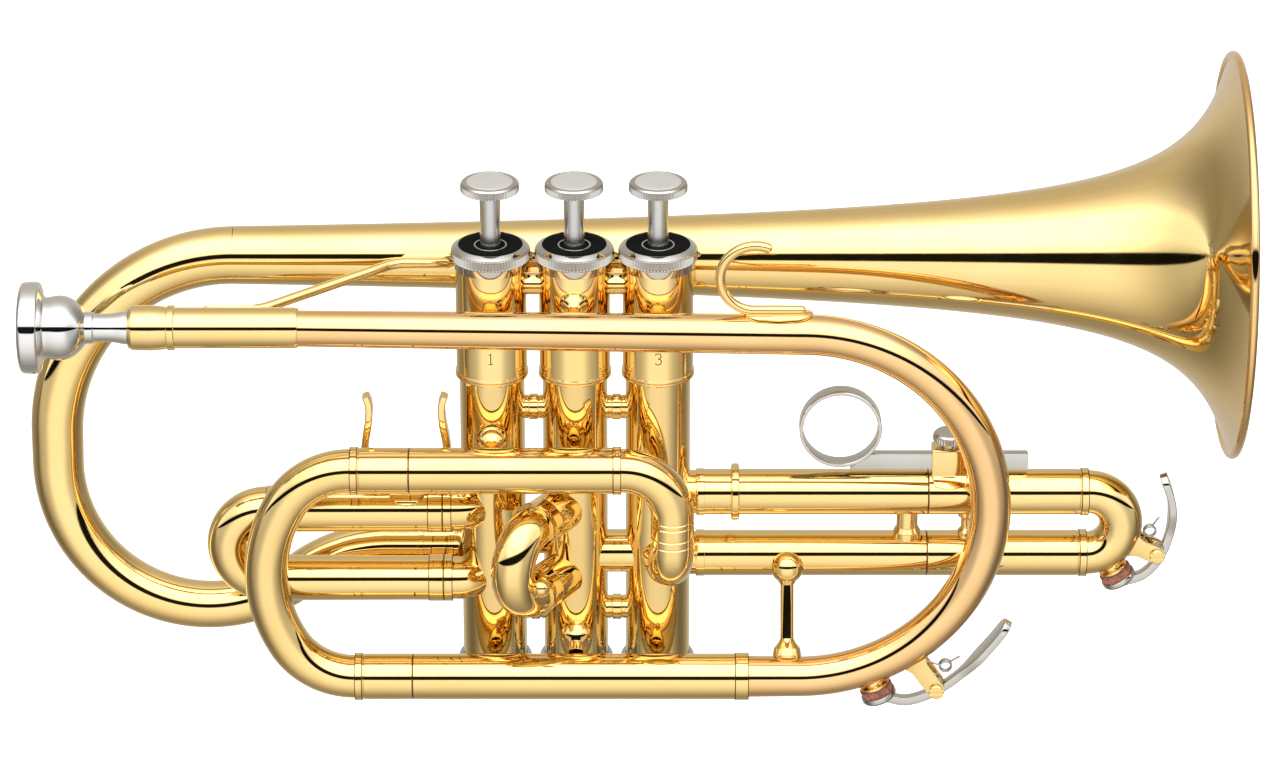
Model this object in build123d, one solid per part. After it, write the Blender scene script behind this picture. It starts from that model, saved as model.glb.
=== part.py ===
from build123d import *
import math
import os

# A B-flat cornet, assembled from its separate tubes, valves, slides, braces and keys.
# Frame: +X towards the bell, +Z up along the valves, +Y to the player's left (the bell side).
# The origin is on the axis of the second valve, half-way down the grip of the valve block.
# All sizes are in millimetres.

# ---- tubing -------------------------------------------------------------------------------
bore_r = 5.825            # medium-large bore, 11.65 across
inner_r = 6.25            # outside of a sliding leg
outer_r = 6.70            # outside of a fixed slide tube
outer_bore_r = 6.29       # inside of a fixed slide tube
bow_r = 6.30              # outside of a bow
ferrule_r = 6.95          # outside of a ferrule
band_r = 6.85             # outside of a narrow band
parting_gap = 0.05        # gap where a slide seats against its fixed tube
bow_wall = 0.48

# ---- valve block --------------------------------------------------------------------------
valve_pitch = 24.0
valve_x = [-valve_pitch, 0.0, valve_pitch]
casing_r = 9.4            # lower casing
casing_top_r = 10.2       # upper casing, round the spring
casing_bore = 8.5
spring_bore = 9.3
casing_bottom = -69.2
casing_seam = 27.4
casing_shoulder = 60.1
casing_top = 63.4
port_r = 4.9              # ports and crossings, drawn a little under the bore to stay apart
valve_stroke = 16.0

cap_r = 11.4
cap_skirt_r = 10.55
cap_top = 66.8
knurl_bottom = 62.7
knurl_top = 65.9
felt_r = 9.25
cap_hole_r = 4.3
cap_ring_r = 4.75
stem_r = 2.95
stem_bottom = 60.6
button_r = 8.4
button_bottom = 83.2
button_top = 86.2
inlay_r = 6.7

piston_r = 8.45
piston_bottom = -52.0
piston_top = 12.0
barrel_r = 7.6
barrel_wall = 0.6
guide_bottom = 27.45
guide_top = 30.4

# ---- levels and planes ----------------------------------------------------------------------
lead_y = -19.5            # plane of the leadpipe, crook and main tuning slide
lead_start_x = -95.0
lead_start_r = 5.1
crook_r = 5.85
lead_end_r = 6.1
lead_wall = 0.5
receiver_z = 49.2
lead_end_z = 47.1
crook_start_x = 66.0
crook_low_z = -62.5
tuning_high_z = 4.2
tuning_low_z = crook_low_z
bell_y = 24.5
bell_z = 52.9
passage_12_z = -25.0
passage_23_z = -31.0
elbow_start_x = 11.0
elbow_low_z = -29.2        # where the elbow enters the third valve

# ---- slides ---------------------------------------------------------------------------------
first_y = -6.0
first_z = [-14.5, -36.9]
first_bow_x = -89.8       # centre of the bow
first_part_x = -38.6      # where the moving tubes seat
first_port = 215.0        # direction of the ports on casing 1, degrees from +X
knuckle_r = 6.6           # bend of the short elbows that meet casing 1
saddle_x = -49.0
saddle_top_z = 22.0
second_z = [-14.3, -35.8]
second_port = 237.0
second_bow_t = 22.1       # start of the bow, measured from the valve axis
second_part_t = 16.5
third_y = 0.0
third_z = [-11.8, -31.7]
third_part_x = 102.9
third_bow_x = 149.8
tuning_part_x = -47.6
tuning_bow_x = -64.6

# ---- bell -----------------------------------------------------------------------------------
bell_rim_x = 191.3
bell_rim_r = 59.5
bell_start_x = -99.5
bell_wall = 0.5
rim_wire_r = 1.35
bow_tilt = 9.8            # lean of the rear bow from the vertical
bow_high_r = 53.0
bow_drop = 9.4
bow_low_r = 44.0
bow_rise = 38.0           # how far the low bend turns past its lowest point
tail_x = -31.6            # where the tail turns in to casing 1
tail_r = 6.5

os.makedirs("parts", exist_ok=True)


# ---- building blocks ------------------------------------------------------------------------
def keep(shape, name, colour="goldenrod"):
    """Write one sub-part as its own STEP file."""
    shape.label = name
    shape.color = Color(colour)
    export_step(shape, f"parts/{name}.step")


def rod(start, end, r):
    """A straight round bar between two points."""
    a = Vector(*start)
    b = Vector(*end)
    plane = Plane(origin=(a + b) * 0.5, z_dir=b - a)
    return plane * Cylinder(r, (b - a).length)


def tube(start, end, r_out, r_in):
    """A straight tube between two points."""
    return rod(start, end, r_out) - rod(start, end, r_in)


def turned_x(profile, y, z):
    """Turn a closed outline of (x, radius) points about a line along X."""
    outline = Polyline(*[(x, y, z + r) for x, r in profile], close=True)
    return revolve(make_face(outline), Axis((0, y, z), (1, 0, 0)), 360)


def turned_z(profile, x, y=0.0):
    """Turn a closed outline of (radius, z) points about a line along Z."""
    outline = Polyline(*[(x + r, y, z) for r, z in profile], close=True)
    return revolve(make_face(outline), Axis((x, y, 0), (0, 0, 1)), 360)


def pipe(path, r_out, r_in):
    """A tube of constant section along a path."""
    section = Plane(origin=path @ 0, z_dir=path % 0) * (Circle(r_out) - Circle(r_in))
    return sweep(section, path=path)


def taper_solid(path, r_start, r_end):
    """A round bar that changes its radius evenly along a path."""
    first = Plane(origin=path @ 0, z_dir=path % 0) * Circle(r_start)
    last = Plane(origin=path @ 1, z_dir=path % 1) * Circle(r_end)
    return sweep([first, last], path=path, multisection=True)


def taper_pipe(path, r_start, r_end, wall):
    """A tube that changes its radius evenly along a path."""
    return taper_solid(path, r_start, r_end) - taper_solid(path, r_start - wall, r_end - wall)


def joined(pieces):
    """Fuse a list of shapes into one."""
    whole = pieces[0]
    for piece in pieces[1:]:
        whole = whole + piece
    return whole


def group(pieces):
    """Several separate solids that share one node."""
    solids = []
    for piece in pieces:
        solids.extend(piece.solids())
    return Compound(children=solids)


def casing_core(index):
    """The space that a valve casing fills, used to trim the tubes that meet it."""
    height = casing_top - casing_bottom
    return Pos(valve_x[index], 0, (casing_top + casing_bottom) / 2) * Cylinder(casing_r, height)


def around(index, angle, distance, z):
    """A point at a distance from a valve axis, in a direction given in degrees from +X."""
    a = math.radians(angle)
    return (valve_x[index] + distance * math.cos(a), distance * math.sin(a), z)


def tilted(x, down):
    """A point of the leaning plane of the rear bow, by its distance below the bell axis."""
    lean = math.radians(bow_tilt)
    return (x, bell_y - down * math.sin(lean), bell_z - down * math.cos(lean))


def bell_radius(x):
    """Outside radius of the bell: a Bessel horn that opens towards the rim."""
    return 204.0 * (200.0 - x) ** -0.58 + 1.0 + 0.0016 * (x - bell_start_x)


def bell_point(x, depth):
    """A point of the bell's outline, at a depth under its outside surface."""
    rise = bell_radius(x + 0.01) - bell_radius(x - 0.01)
    slope = math.atan2(rise, 0.02)
    return (x + depth * math.sin(slope), bell_y, bell_z + bell_radius(x) - depth * math.cos(slope))


# ---- bell -----------------------------------------------------------------------------------
def bell_flare():
    """The bell from the top of the rear bow to the rolled rim."""
    mouth_x = bell_rim_x - 0.65
    steps = 12
    stations = [mouth_x - (mouth_x - bell_start_x) * (1 - i / steps) ** 2.4 for i in range(steps + 1)]
    outer = [bell_point(x, 0.0) for x in stations]
    inner = [bell_point(x, bell_wall) for x in stations]
    inner[0] = (bell_start_x, bell_y, bell_z + bell_radius(bell_start_x) - bell_wall)
    ends = Line(outer[0], inner[0]) + Line(outer[-1], inner[-1])
    face = make_face(Spline(*outer) + Spline(*inner) + ends)
    return revolve(face, Axis((0, bell_y, bell_z), (1, 0, 0)), 360) - bell_rim_wire()


def bell_rim_wire():
    """The wire that the rim is rolled over."""
    centre = Pos(bell_rim_x, bell_y, bell_z) * Rot(0, 90, 0)
    return centre * Torus(bell_rim_r - rim_wire_r, rim_wire_r)


def tail_path():
    """Centre lines of the rear bow and the tail, as a list of separate runs."""
    left_x = bell_start_x - bow_high_r
    low_down = bow_high_r + bow_drop
    low_x = left_x + bow_low_r
    turn = math.radians(bow_rise)
    rise_x = low_x + bow_low_r * math.sin(turn)
    rise_down = low_down + bow_low_r * math.cos(turn)
    back_r = bow_low_r - 1.2
    tail_down = rise_down - back_r * (1 - math.cos(turn))
    level_x = rise_x + back_r * math.sin(turn)
    half = math.radians(45)
    mid_high = tilted(bell_start_x - bow_high_r * math.sin(half), bow_high_r * (1 - math.cos(half)))
    wide = math.radians((90 + bow_rise) / 2)
    mid_low = tilted(low_x - bow_low_r * math.cos(wide), low_down + bow_low_r * math.sin(wide))
    small = turn / 2
    mid_back = tilted(level_x - back_r * math.sin(small), tail_down + back_r * (1 - math.cos(small)))
    high = ThreePointArc(tilted(bell_start_x, 0), mid_high, tilted(left_x, bow_high_r))
    drop = Line(tilted(left_x, bow_high_r), tilted(left_x, low_down))
    low = ThreePointArc(tilted(left_x, low_down), mid_low, tilted(rise_x, rise_down))
    back = ThreePointArc(tilted(rise_x, rise_down), mid_back, tilted(level_x, tail_down))
    level = tilted(level_x, tail_down)
    corner = (tail_x, level[1], level[2])
    port = (valve_x[0] - 5.0, level[1] * 5.0 / (valve_x[0] - tail_x), level[2])
    run = FilletPolyline(level, corner, port, radius=knuckle_r)
    return [high, drop, low, back, run]


def tail_port():
    """Direction and height of the bell's port on casing 1."""
    level = tail_path()[4] @ 0
    return math.degrees(math.atan2(level.Y, tail_x - valve_x[0])), level.Z


def bell_stem():
    """The rear bow and the tail, a long taper down to the first valve."""
    radii = [bell_radius(bell_start_x), 7.6, 7.5, 6.75, tail_r]
    runs = tail_path()
    pieces = [taper_pipe(run, radii[i], radii[i + 1], bell_wall) for i, run in enumerate(runs[:4])]
    pieces.append(pipe(runs[4], radii[4], radii[4] - bell_wall))
    return joined(pieces) - casing_core(0)


# ---- leadpipe, crook and main tuning slide --------------------------------------------------
def mouthpiece_receiver():
    """The socket for the mouthpiece and the sleeve that carries the leadpipe."""
    profile = [
        (-126.6, 4.85),
        (-126.6, 5.7),
        (-125.4, 6.35),
        (-120.0, 6.5),
        (-116.6, 6.2),
        (-115.4, 5.9),
        (-115.4, 6.45),
        (-113.4, 6.45),
        (-113.4, 5.85),
        (-79.2, 5.85),
        (-78.4, 5.65),
        (-78.4, 5.45),
        (-96.0, 5.45),
        (-96.0, 4.52),
    ]
    return turned_x(profile, lead_y, receiver_z)


def leadpipe():
    """The leadpipe and the D-shaped front crook, one tube from the receiver to the tuning slide."""
    start = (lead_start_x, lead_y, receiver_z)
    bend = (crook_start_x, lead_y, lead_end_z)
    slope = math.atan2(receiver_z - lead_end_z, crook_start_x - lead_start_x)
    crook_end_x = crook_start_x - (lead_end_z - crook_low_z) * math.tan(slope / 2)
    end = (crook_end_x, lead_y, crook_low_z)
    straight = Line(start, bend)
    crook = TangentArc(bend, end, tangent=straight % 1)
    lower = Line(end, (46.8, lead_y, crook_low_z))
    first = taper_pipe(straight, lead_start_r, crook_r, lead_wall)
    last = taper_pipe(lower, crook_r, lead_end_r, lead_wall)
    return joined([first, pipe(crook, crook_r, crook_r - lead_wall), last])


def crook_centre():
    """Centre and centre-line radius of the front crook, in the X-Z plane."""
    return crook_start_x - 0.4, (lead_end_z + crook_low_z) / 2, (lead_end_z - crook_low_z) / 2


def tuning_outer_tubes():
    """The two fixed tubes of the main tuning slide."""
    ends = [(tuning_high_z, elbow_start_x), (tuning_low_z, 46.7)]
    return [tube((tuning_part_x, lead_y, z), (x, lead_y, z), outer_r, outer_bore_r) for z, x in ends]


def elbow_path():
    """Centre line of the elbow that leads from the tuning slide into the third valve."""
    turn_x = valve_x[2] + 4.2
    drop = (turn_x, lead_y, elbow_low_z)
    stop = (valve_x[2] + 4.2 * 0.2, lead_y * 0.2, elbow_low_z)
    return FilletPolyline(
        (elbow_start_x + 0.1, lead_y, tuning_high_z),
        (turn_x, lead_y, tuning_high_z),
        drop,
        stop,
        radius=[14.5, 8.6],
    )


def elbow_port():
    """Direction of the elbow's port on casing 3."""
    return math.degrees(math.atan2(lead_y, 4.2))


def valve_elbow():
    """The elbow from the tuning slide to the third valve."""
    return pipe(elbow_path(), bow_r, bore_r) - casing_core(2)


def tuning_bow_path():
    """The main tuning bow: two tight corners joined by one wide arc."""
    half = (tuning_high_z - tuning_low_z) / 2
    mid_z = (tuning_high_z + tuning_low_z) / 2
    corner_r = 22.0
    corner = math.radians(60)
    wide_r = (half - corner_r * (1 - math.cos(corner))) / math.cos(corner)
    joint_x = tuning_bow_x - corner_r * math.sin(corner)
    joint_z = half - corner_r * (1 - math.cos(corner))
    mid_x = joint_x - wide_r * (1 - math.sin(corner))
    soft = corner / 2
    soft_x = tuning_bow_x - corner_r * math.sin(soft)
    soft_z = half - corner_r * (1 - math.cos(soft))
    top = ThreePointArc(
        (tuning_bow_x, lead_y, mid_z + half),
        (soft_x, lead_y, mid_z + soft_z),
        (joint_x, lead_y, mid_z + joint_z),
    )
    wide = ThreePointArc(
        (joint_x, lead_y, mid_z + joint_z), (mid_x, lead_y, mid_z), (joint_x, lead_y, mid_z - joint_z)
    )
    low = ThreePointArc(
        (joint_x, lead_y, mid_z - joint_z),
        (soft_x, lead_y, mid_z - soft_z),
        (tuning_bow_x, lead_y, mid_z - half),
    )
    return Wire([top, wide, low])


def tuning_slide_bow():
    """The bow of the main tuning slide."""
    return pipe(tuning_bow_path(), bow_r, bow_r - bow_wall)


def sliding_leg(seat, tip, end, y, z):
    """A leg along X: a bow ferrule, a sleeve up to the seat, and the leg that slides inside."""
    way = 1.0 if seat > end else -1.0
    leg = tube((end, y, z), (tip, y, z), inner_r, bore_r)
    sleeve = tube((end, y, z), (seat - way * parting_gap, y, z), outer_r, inner_r)
    ferrule = tube((end, y, z), (end + way * 2.2, y, z), ferrule_r, outer_r)
    return joined([leg, sleeve, ferrule])


def tuning_slide_legs():
    """The two legs of the main tuning slide."""
    tips = [(tuning_high_z, 2.0), (tuning_low_z, 2.0)]
    return [sliding_leg(tuning_part_x, tip, tuning_bow_x, lead_y, z) for z, tip in tips]


# ---- first, second and third valve slides ---------------------------------------------------
def u_bow(start_a, mid, start_b, r_out, r_in):
    """A half-turn bow between two leg ends."""
    return pipe(ThreePointArc(start_a, mid, start_b), r_out, r_in)


def knuckle_path(z):
    """Centre line of a first-slide knuckle: a leg end that turns into the first valve."""
    corner_x = valve_x[0] - abs(first_y) / math.tan(math.radians(first_port - 180))
    start = (first_part_x + 0.2, first_y, z)
    return FilletPolyline(start, (corner_x, first_y, z), around(0, first_port, 5.0, z), radius=knuckle_r)


def first_slide_inner_tubes():
    """The fixed legs that leave the first valve, each with its knuckle elbow."""
    pieces = []
    for z in first_z:
        leg = tube((first_part_x + 0.2, first_y, z), (-84.0, first_y, z), inner_r, bore_r)
        shoulder = tube((-36.0, first_y, z), (first_part_x, first_y, z), band_r, inner_r)
        turn = pipe(knuckle_path(z), bow_r, bore_r) - casing_core(0)
        pieces.append(joined([turn, leg, shoulder]))
    return pieces


def first_slide_sleeves():
    """The moving tubes of the first slide, which slide over the fixed legs."""
    seat = first_part_x - parting_gap
    pieces = []
    for z in first_z:
        sleeve = tube((first_bow_x, first_y, z), (seat, first_y, z), outer_r, outer_bore_r)
        band = tube((-43.2, first_y, z), (seat, first_y, z), band_r, outer_r)
        ferrule = tube((first_bow_x, first_y, z), (first_bow_x + 2.2, first_y, z), band_r, outer_r)
        pieces.append(joined([sleeve, band, ferrule]))
    return pieces


def first_slide_bow():
    """The bow of the first slide."""
    r = (first_z[0] - first_z[1]) / 2
    mid_z = (first_z[0] + first_z[1]) / 2
    return u_bow(
        (first_bow_x, first_y, first_z[0]),
        (first_bow_x - r, first_y, mid_z),
        (first_bow_x, first_y, first_z[1]),
        bow_r + 0.3,
        bore_r,
    )


def thumb_saddle():
    """The U-shaped thumb saddle that stands on the first slide."""
    half = 12.0
    thick = 2.1
    depth = 6.0
    bottom = first_z[0] + outer_r + 0.9
    corner_z = bottom + half
    left = saddle_x - half
    right = saddle_x + half
    low_arc = ThreePointArc((left, corner_z), (saddle_x, bottom), (right, corner_z))
    waist_z = saddle_top_z - 4.5      # the arms are closest here, and the tips curl out above
    lean_z = saddle_top_z - 9.0
    left_arm = Polyline(
        (left + 0.6, saddle_top_z),
        (left + 1.6, waist_z),
        (left + 1.2, lean_z),
        (left, corner_z),
    )
    right_arm = Polyline(
        (right, corner_z),
        (right - 1.2, lean_z),
        (right - 1.6, waist_z),
        (right - 0.6, saddle_top_z),
    )
    strip = Plane.XZ * trace(left_arm + low_arc + right_arm, thick)
    saddle = Pos(0, first_y + depth / 2, 0) * extrude(strip, depth)
    foot = rod((saddle_x, first_y, bottom - 2.1), (saddle_x, first_y, bottom + 0.6), 5.6)
    foot = foot - rod((-70, first_y, first_z[0]), (-30, first_y, first_z[0]), outer_r + 0.01)
    return saddle + foot


def second_slide_tubes():
    """The short fixed tubes of the second slide."""
    pieces = []
    for z in second_z:
        start = around(1, second_port, 5.0, z)
        end = around(1, second_port, second_part_t, z)
        pieces.append(tube(start, end, outer_r, outer_bore_r) - casing_core(1))
    return pieces


def second_slide_legs():
    """The moving legs of the second slide."""
    seat = second_part_t + parting_gap
    pieces = []
    for z in second_z:
        end = around(1, second_port, second_bow_t, z)
        leg = tube(around(1, second_port, 10.3, z), end, inner_r, bore_r)
        sleeve = tube(around(1, second_port, seat, z), end, outer_r, inner_r)
        ferrule = tube(around(1, second_port, second_bow_t - 2.2, z), end, ferrule_r, outer_r)
        pieces.append(joined([leg, sleeve, ferrule]))
    return pieces


def second_slide_path():
    """Centre line of the second slide's bow."""
    r = (second_z[0] - second_z[1]) / 2
    mid_z = (second_z[0] + second_z[1]) / 2
    return ThreePointArc(
        around(1, second_port, second_bow_t, second_z[0]),
        around(1, second_port, second_bow_t + r, mid_z),
        around(1, second_port, second_bow_t, second_z[1]),
    )


def second_slide_bow():
    """The bow of the second slide, with the small knob that pulls it."""
    path = second_slide_path()
    root = path @ 0.74
    side = math.radians(second_port + 90)
    out = Vector(0.9 * math.cos(side), 0.9 * math.sin(side), 0.43)
    neck = rod(tuple(root + out * 5.6), tuple(root + out * 7.6), 1.5)
    collar = rod(tuple(root + out * 5.6), tuple(root + out * 6.5), 2.4)
    head = Pos(*(root + out * 8.8)) * Sphere(2.6)
    knob = neck + collar + head - pipe_solid(path, bow_r - 0.05)
    return pipe(path, bow_r, bow_r - bow_wall) + knob


def third_slide_tubes():
    """The long fixed tubes of the third slide."""
    pieces = []
    for z in third_z:
        neck = tube((valve_x[2] + 5.0, third_y, z), (36.0, third_y, z), bow_r + 0.1, bore_r)
        long_tube = tube((35.2, third_y, z), (third_part_x, third_y, z), outer_r, outer_bore_r)
        pieces.append(joined([neck, long_tube]) - casing_core(2) - pipe_solid(elbow_path(), bow_r))
    return pieces


def third_slide_legs():
    """The moving legs of the third slide."""
    return [sliding_leg(third_part_x, 52.0, third_bow_x, third_y, z) for z in third_z]


def third_slide_bow():
    """The bow of the third slide."""
    r = (third_z[0] - third_z[1]) / 2
    mid_z = (third_z[0] + third_z[1]) / 2
    return u_bow(
        (third_bow_x, third_y, third_z[0]),
        (third_bow_x + r, third_y, mid_z),
        (third_bow_x, third_y, third_z[1]),
        bow_r,
        bow_r - bow_wall,
    )


# ---- valves ---------------------------------------------------------------------------------
def port_list(index):
    """Direction and height of each port on a casing."""
    tail_angle, tail_z = tail_port()
    ports = [
        [(first_port, first_z[0]), (first_port, first_z[1]), (tail_angle, tail_z), (0.0, passage_12_z)],
        [(second_port, second_z[0]), (second_port, second_z[1]), (180.0, passage_12_z), (0.0, passage_23_z)],
        [(0.0, third_z[0]), (0.0, third_z[1]), (180.0, passage_23_z), (elbow_port(), elbow_low_z)],
    ]
    return ports[index]


def valve_casing(index):
    """A valve casing: a close lower bore for the piston and a wider one for the spring."""
    profile = [
        (casing_bore, casing_bottom),
        (casing_r, casing_bottom),
        (casing_r, casing_seam - 1.6),
        (casing_top_r + 0.35, casing_seam - 0.9),
        (casing_top_r + 0.35, casing_seam + 0.6),
        (casing_top_r, casing_seam + 0.6),
        (casing_top_r, casing_shoulder),
        (casing_r + 0.5, casing_shoulder),
        (casing_r + 0.5, casing_top),
        (spring_bore, casing_top),
        (spring_bore, casing_seam),
        (casing_bore, casing_seam),
    ]
    casing = turned_z(profile, valve_x[index])
    for angle, z in port_list(index):
        casing = casing - rod(around(index, angle, 4.0, z), around(index, angle, 13.0, z), port_r)
    return casing


def top_cap(x):
    """The screwed top cap with its knurled edge, felt recess and centre ring."""
    profile = [
        (casing_r + 0.5, casing_shoulder),
        (cap_skirt_r, casing_shoulder),
        (cap_skirt_r, knurl_bottom),
        (cap_r, knurl_bottom),
        (cap_r, knurl_top),
        (felt_r + 0.3, cap_top),
        (felt_r, cap_top),
        (felt_r, cap_top - 1.3),
        (cap_ring_r, cap_top - 1.3),
        (cap_ring_r, cap_top - 0.1),
        (cap_hole_r, cap_top - 0.1),
        (cap_hole_r, casing_top),
        (casing_r + 0.5, casing_top),
    ]
    return turned_z(profile, x)


def cap_felt(x):
    """The felt washer that the finger button lands on."""
    profile = [
        (cap_ring_r, cap_top - 1.3),
        (felt_r, cap_top - 1.3),
        (felt_r, cap_top - 0.1),
        (cap_ring_r, cap_top - 0.1),
    ]
    return turned_z(profile, x)


def bottom_cap(x):
    """The screwed bottom cap with its vent nipple."""
    profile = [
        (casing_r, casing_bottom + 5.0),
        (casing_r + 0.8, casing_bottom + 5.0),
        (casing_r + 1.4, casing_bottom + 4.0),
        (casing_r + 1.4, casing_bottom - 0.6),
        (casing_r, casing_bottom - 1.8),
        (3.2, casing_bottom - 2.0),
        (2.8, casing_bottom - 3.4),
        (1.2, casing_bottom - 3.4),
        (1.2, casing_bottom),
        (casing_r, casing_bottom),
    ]
    return turned_z(profile, x)


def piston(x):
    """The piston with its three crossing passages and the slotted spring barrel above it."""
    height = piston_top - piston_bottom
    full = Pos(x, 0, (piston_top + piston_bottom) / 2) * Cylinder(piston_r, height)
    floor_z = -41.0
    roof_z = piston_top - 1.6
    cavity = Pos(x, 0, (floor_z + 1.4 + roof_z) / 2) * Cylinder(piston_r - 0.7, roof_z - floor_z - 1.4)
    skirt = Pos(x, 0, (floor_z + piston_bottom) / 2) * Cylinder(piston_r - 0.7, floor_z - piston_bottom)
    body = full - cavity - skirt
    levels = [passage_23_z + i * valve_stroke for i in range(3)]
    for z in levels:
        crossing = rod((x - 12, 0, z), (x + 12, 0, z), port_r + 0.6) & full
        body = body + crossing
    for z in levels:
        body = body - rod((x - 12, 0, z), (x + 12, 0, z), port_r)
    barrel_top = stem_bottom - 0.1
    barrel_mid = (piston_top + barrel_top) / 2
    barrel = Pos(x, 0, barrel_mid) * Cylinder(barrel_r, barrel_top - piston_top)
    hollow = Cylinder(barrel_r - barrel_wall, barrel_top - piston_top - 2.0)
    barrel = barrel - Pos(x, 0, barrel_mid - 1.2) * hollow
    slot_low = guide_bottom - 0.4
    slot_high = guide_top + valve_stroke + 0.4
    slot = Pos(x, 0, (slot_low + slot_high) / 2) * Box(2 * barrel_r + 2, 4.6, slot_high - slot_low)
    barrel = barrel - slot
    barrel = barrel - rod((x, 0, barrel_top - 4), (x, 0, barrel_top + 1), 1.8)
    return body + barrel


def valve_guide(x):
    """The keyed guide bar that rests on the ledge in the casing and runs in the barrel's slots."""
    height = guide_top - guide_bottom
    centre = Pos(x, 0, (guide_bottom + guide_top) / 2)
    bar = (centre * Box(2 * spring_bore, 4.0, height)) & (centre * Cylinder(spring_bore - 0.1, height))
    hub = centre * Cylinder(6.3, height)
    return bar + hub - centre * Cylinder(2.4, height)


def valve_spring(x):
    """The compression spring between the guide and the top of the barrel."""
    wire = 0.42
    low = guide_top + 0.5
    high = stem_bottom - 2.8
    path = Helix(pitch=(high - low) / 7, height=high - low, radius=5.4, center=(x, 0, low))
    section = Plane(origin=path @ 0, z_dir=path % 0) * Circle(wire)
    return sweep(section, path=path, is_frenet=True)


def valve_stem(x):
    """The stem, screwed into the barrel below and the finger button above."""
    profile = [
        (0.0, stem_bottom - 2.2),
        (1.75, stem_bottom - 2.2),
        (1.75, stem_bottom),
        (stem_r, stem_bottom),
        (stem_r, button_bottom),
        (1.75, button_bottom),
        (1.75, button_bottom + 1.2),
        (0.0, button_bottom + 1.2),
    ]
    return turned_z(profile, x)


def finger_button(x):
    """The finger button, a shallow dish with a knurled edge."""
    profile = [
        (0.0, button_bottom + 1.25),
        (1.8, button_bottom + 1.25),
        (1.8, button_bottom),
        (button_r - 0.5, button_bottom),
        (button_r, button_bottom + 0.4),
        (button_r, button_top - 0.8),
        (button_r - 0.6, button_top - 0.1),
        (inlay_r, button_top),
        (inlay_r, button_top - 0.8),
        (0.0, button_top - 0.8),
    ]
    return turned_z(profile, x)


def button_inlay(x):
    """The smooth inlay on top of a finger button."""
    profile = [
        (0.0, button_top - 0.8),
        (inlay_r, button_top - 0.8),
        (inlay_r, button_top),
        (inlay_r - 0.8, button_top + 0.2),
        (0.0, button_top + 0.2),
    ]
    return turned_z(profile, x)


def intervalve_tubes():
    """The two short passages between the casings."""
    low = tube((valve_x[0], 0, passage_12_z), (valve_x[1], 0, passage_12_z), bow_r, bore_r)
    high = tube((valve_x[1], 0, passage_23_z), (valve_x[2], 0, passage_23_z), bow_r, bore_r)
    low = low - casing_core(0) - casing_core(1)
    high = high - casing_core(1) - casing_core(2) - pipe_solid(elbow_path(), bow_r)
    return [low, high]


def casing_spacers():
    """Turned spacers that tie the casings together above and below the passages."""
    pieces = []
    for left, right in ((0, 1), (1, 2)):
        mid = (valve_x[left] + valve_x[right]) / 2
        for z in (15.6, -49.4):
            flanges = rod((valve_x[left], 0, z), (valve_x[right], 0, z), 3.4)
            flanges = flanges - tube((mid - 0.2, 0, z), (mid + 0.2, 0, z), 4.0, 2.8)
            bead_a = rod((mid - 2.6, 0, z), (mid - 0.2, 0, z), 3.8)
            bead_b = rod((mid + 0.2, 0, z), (mid + 2.6, 0, z), 3.8)
            pieces.append(joined([flanges, bead_a, bead_b]) - casing_core(left) - casing_core(right))
        upper = rod((valve_x[left], 0, 54.5), (valve_x[right], 0, 54.5), 3.2)
        for index in (left, right):
            upper = upper - Pos(valve_x[index], 0, 54.5) * Cylinder(casing_top_r, 20)
        pieces.append(upper)
    return pieces


# ---- ferrules and braces --------------------------------------------------------------------
def tube_ferrules():
    """Every fixed ferrule and band that covers a joint between two tubes."""
    pieces = [
        tube((46.7, lead_y, tuning_low_z), (50.5, lead_y, tuning_low_z), ferrule_r, 6.12),
        tube(
            (elbow_start_x, lead_y, tuning_high_z),
            (elbow_start_x + 2.4, lead_y, tuning_high_z),
            ferrule_r,
            6.32,
        ),
    ]
    tail = tail_path()[4] @ 0
    for start_x, end_x in ((-46.6, -44.9), (-37.9, -34.8)):
        pieces.append(tube((start_x, tail.Y, tail.Z), (end_x, tail.Y, tail.Z), tail_r + 0.25, tail_r))
    for z in third_z:
        pieces.append(tube((35.2, third_y, z), (37.7, third_y, z), band_r, outer_r))
    collar = tube((45.4, third_y, third_z[0]), (47.8, third_y, third_z[0]), 8.3, outer_r)
    pieces.append(collar)
    return pieces


def brace_post(start, end, r, flange_r, collar_r):
    """A round brace post: a wide flange on the casing and a collar on the tube."""
    a = Vector(*start)
    b = Vector(*end)
    way = (b - a).normalized()
    flange_end = casing_r + 0.8
    flange = rod(start, tuple(a + way * (flange_end + a.Y)), flange_r)
    collar = rod(tuple(b - way * 3.0), end, collar_r)
    return joined([rod(start, end, r), flange, collar])


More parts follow.
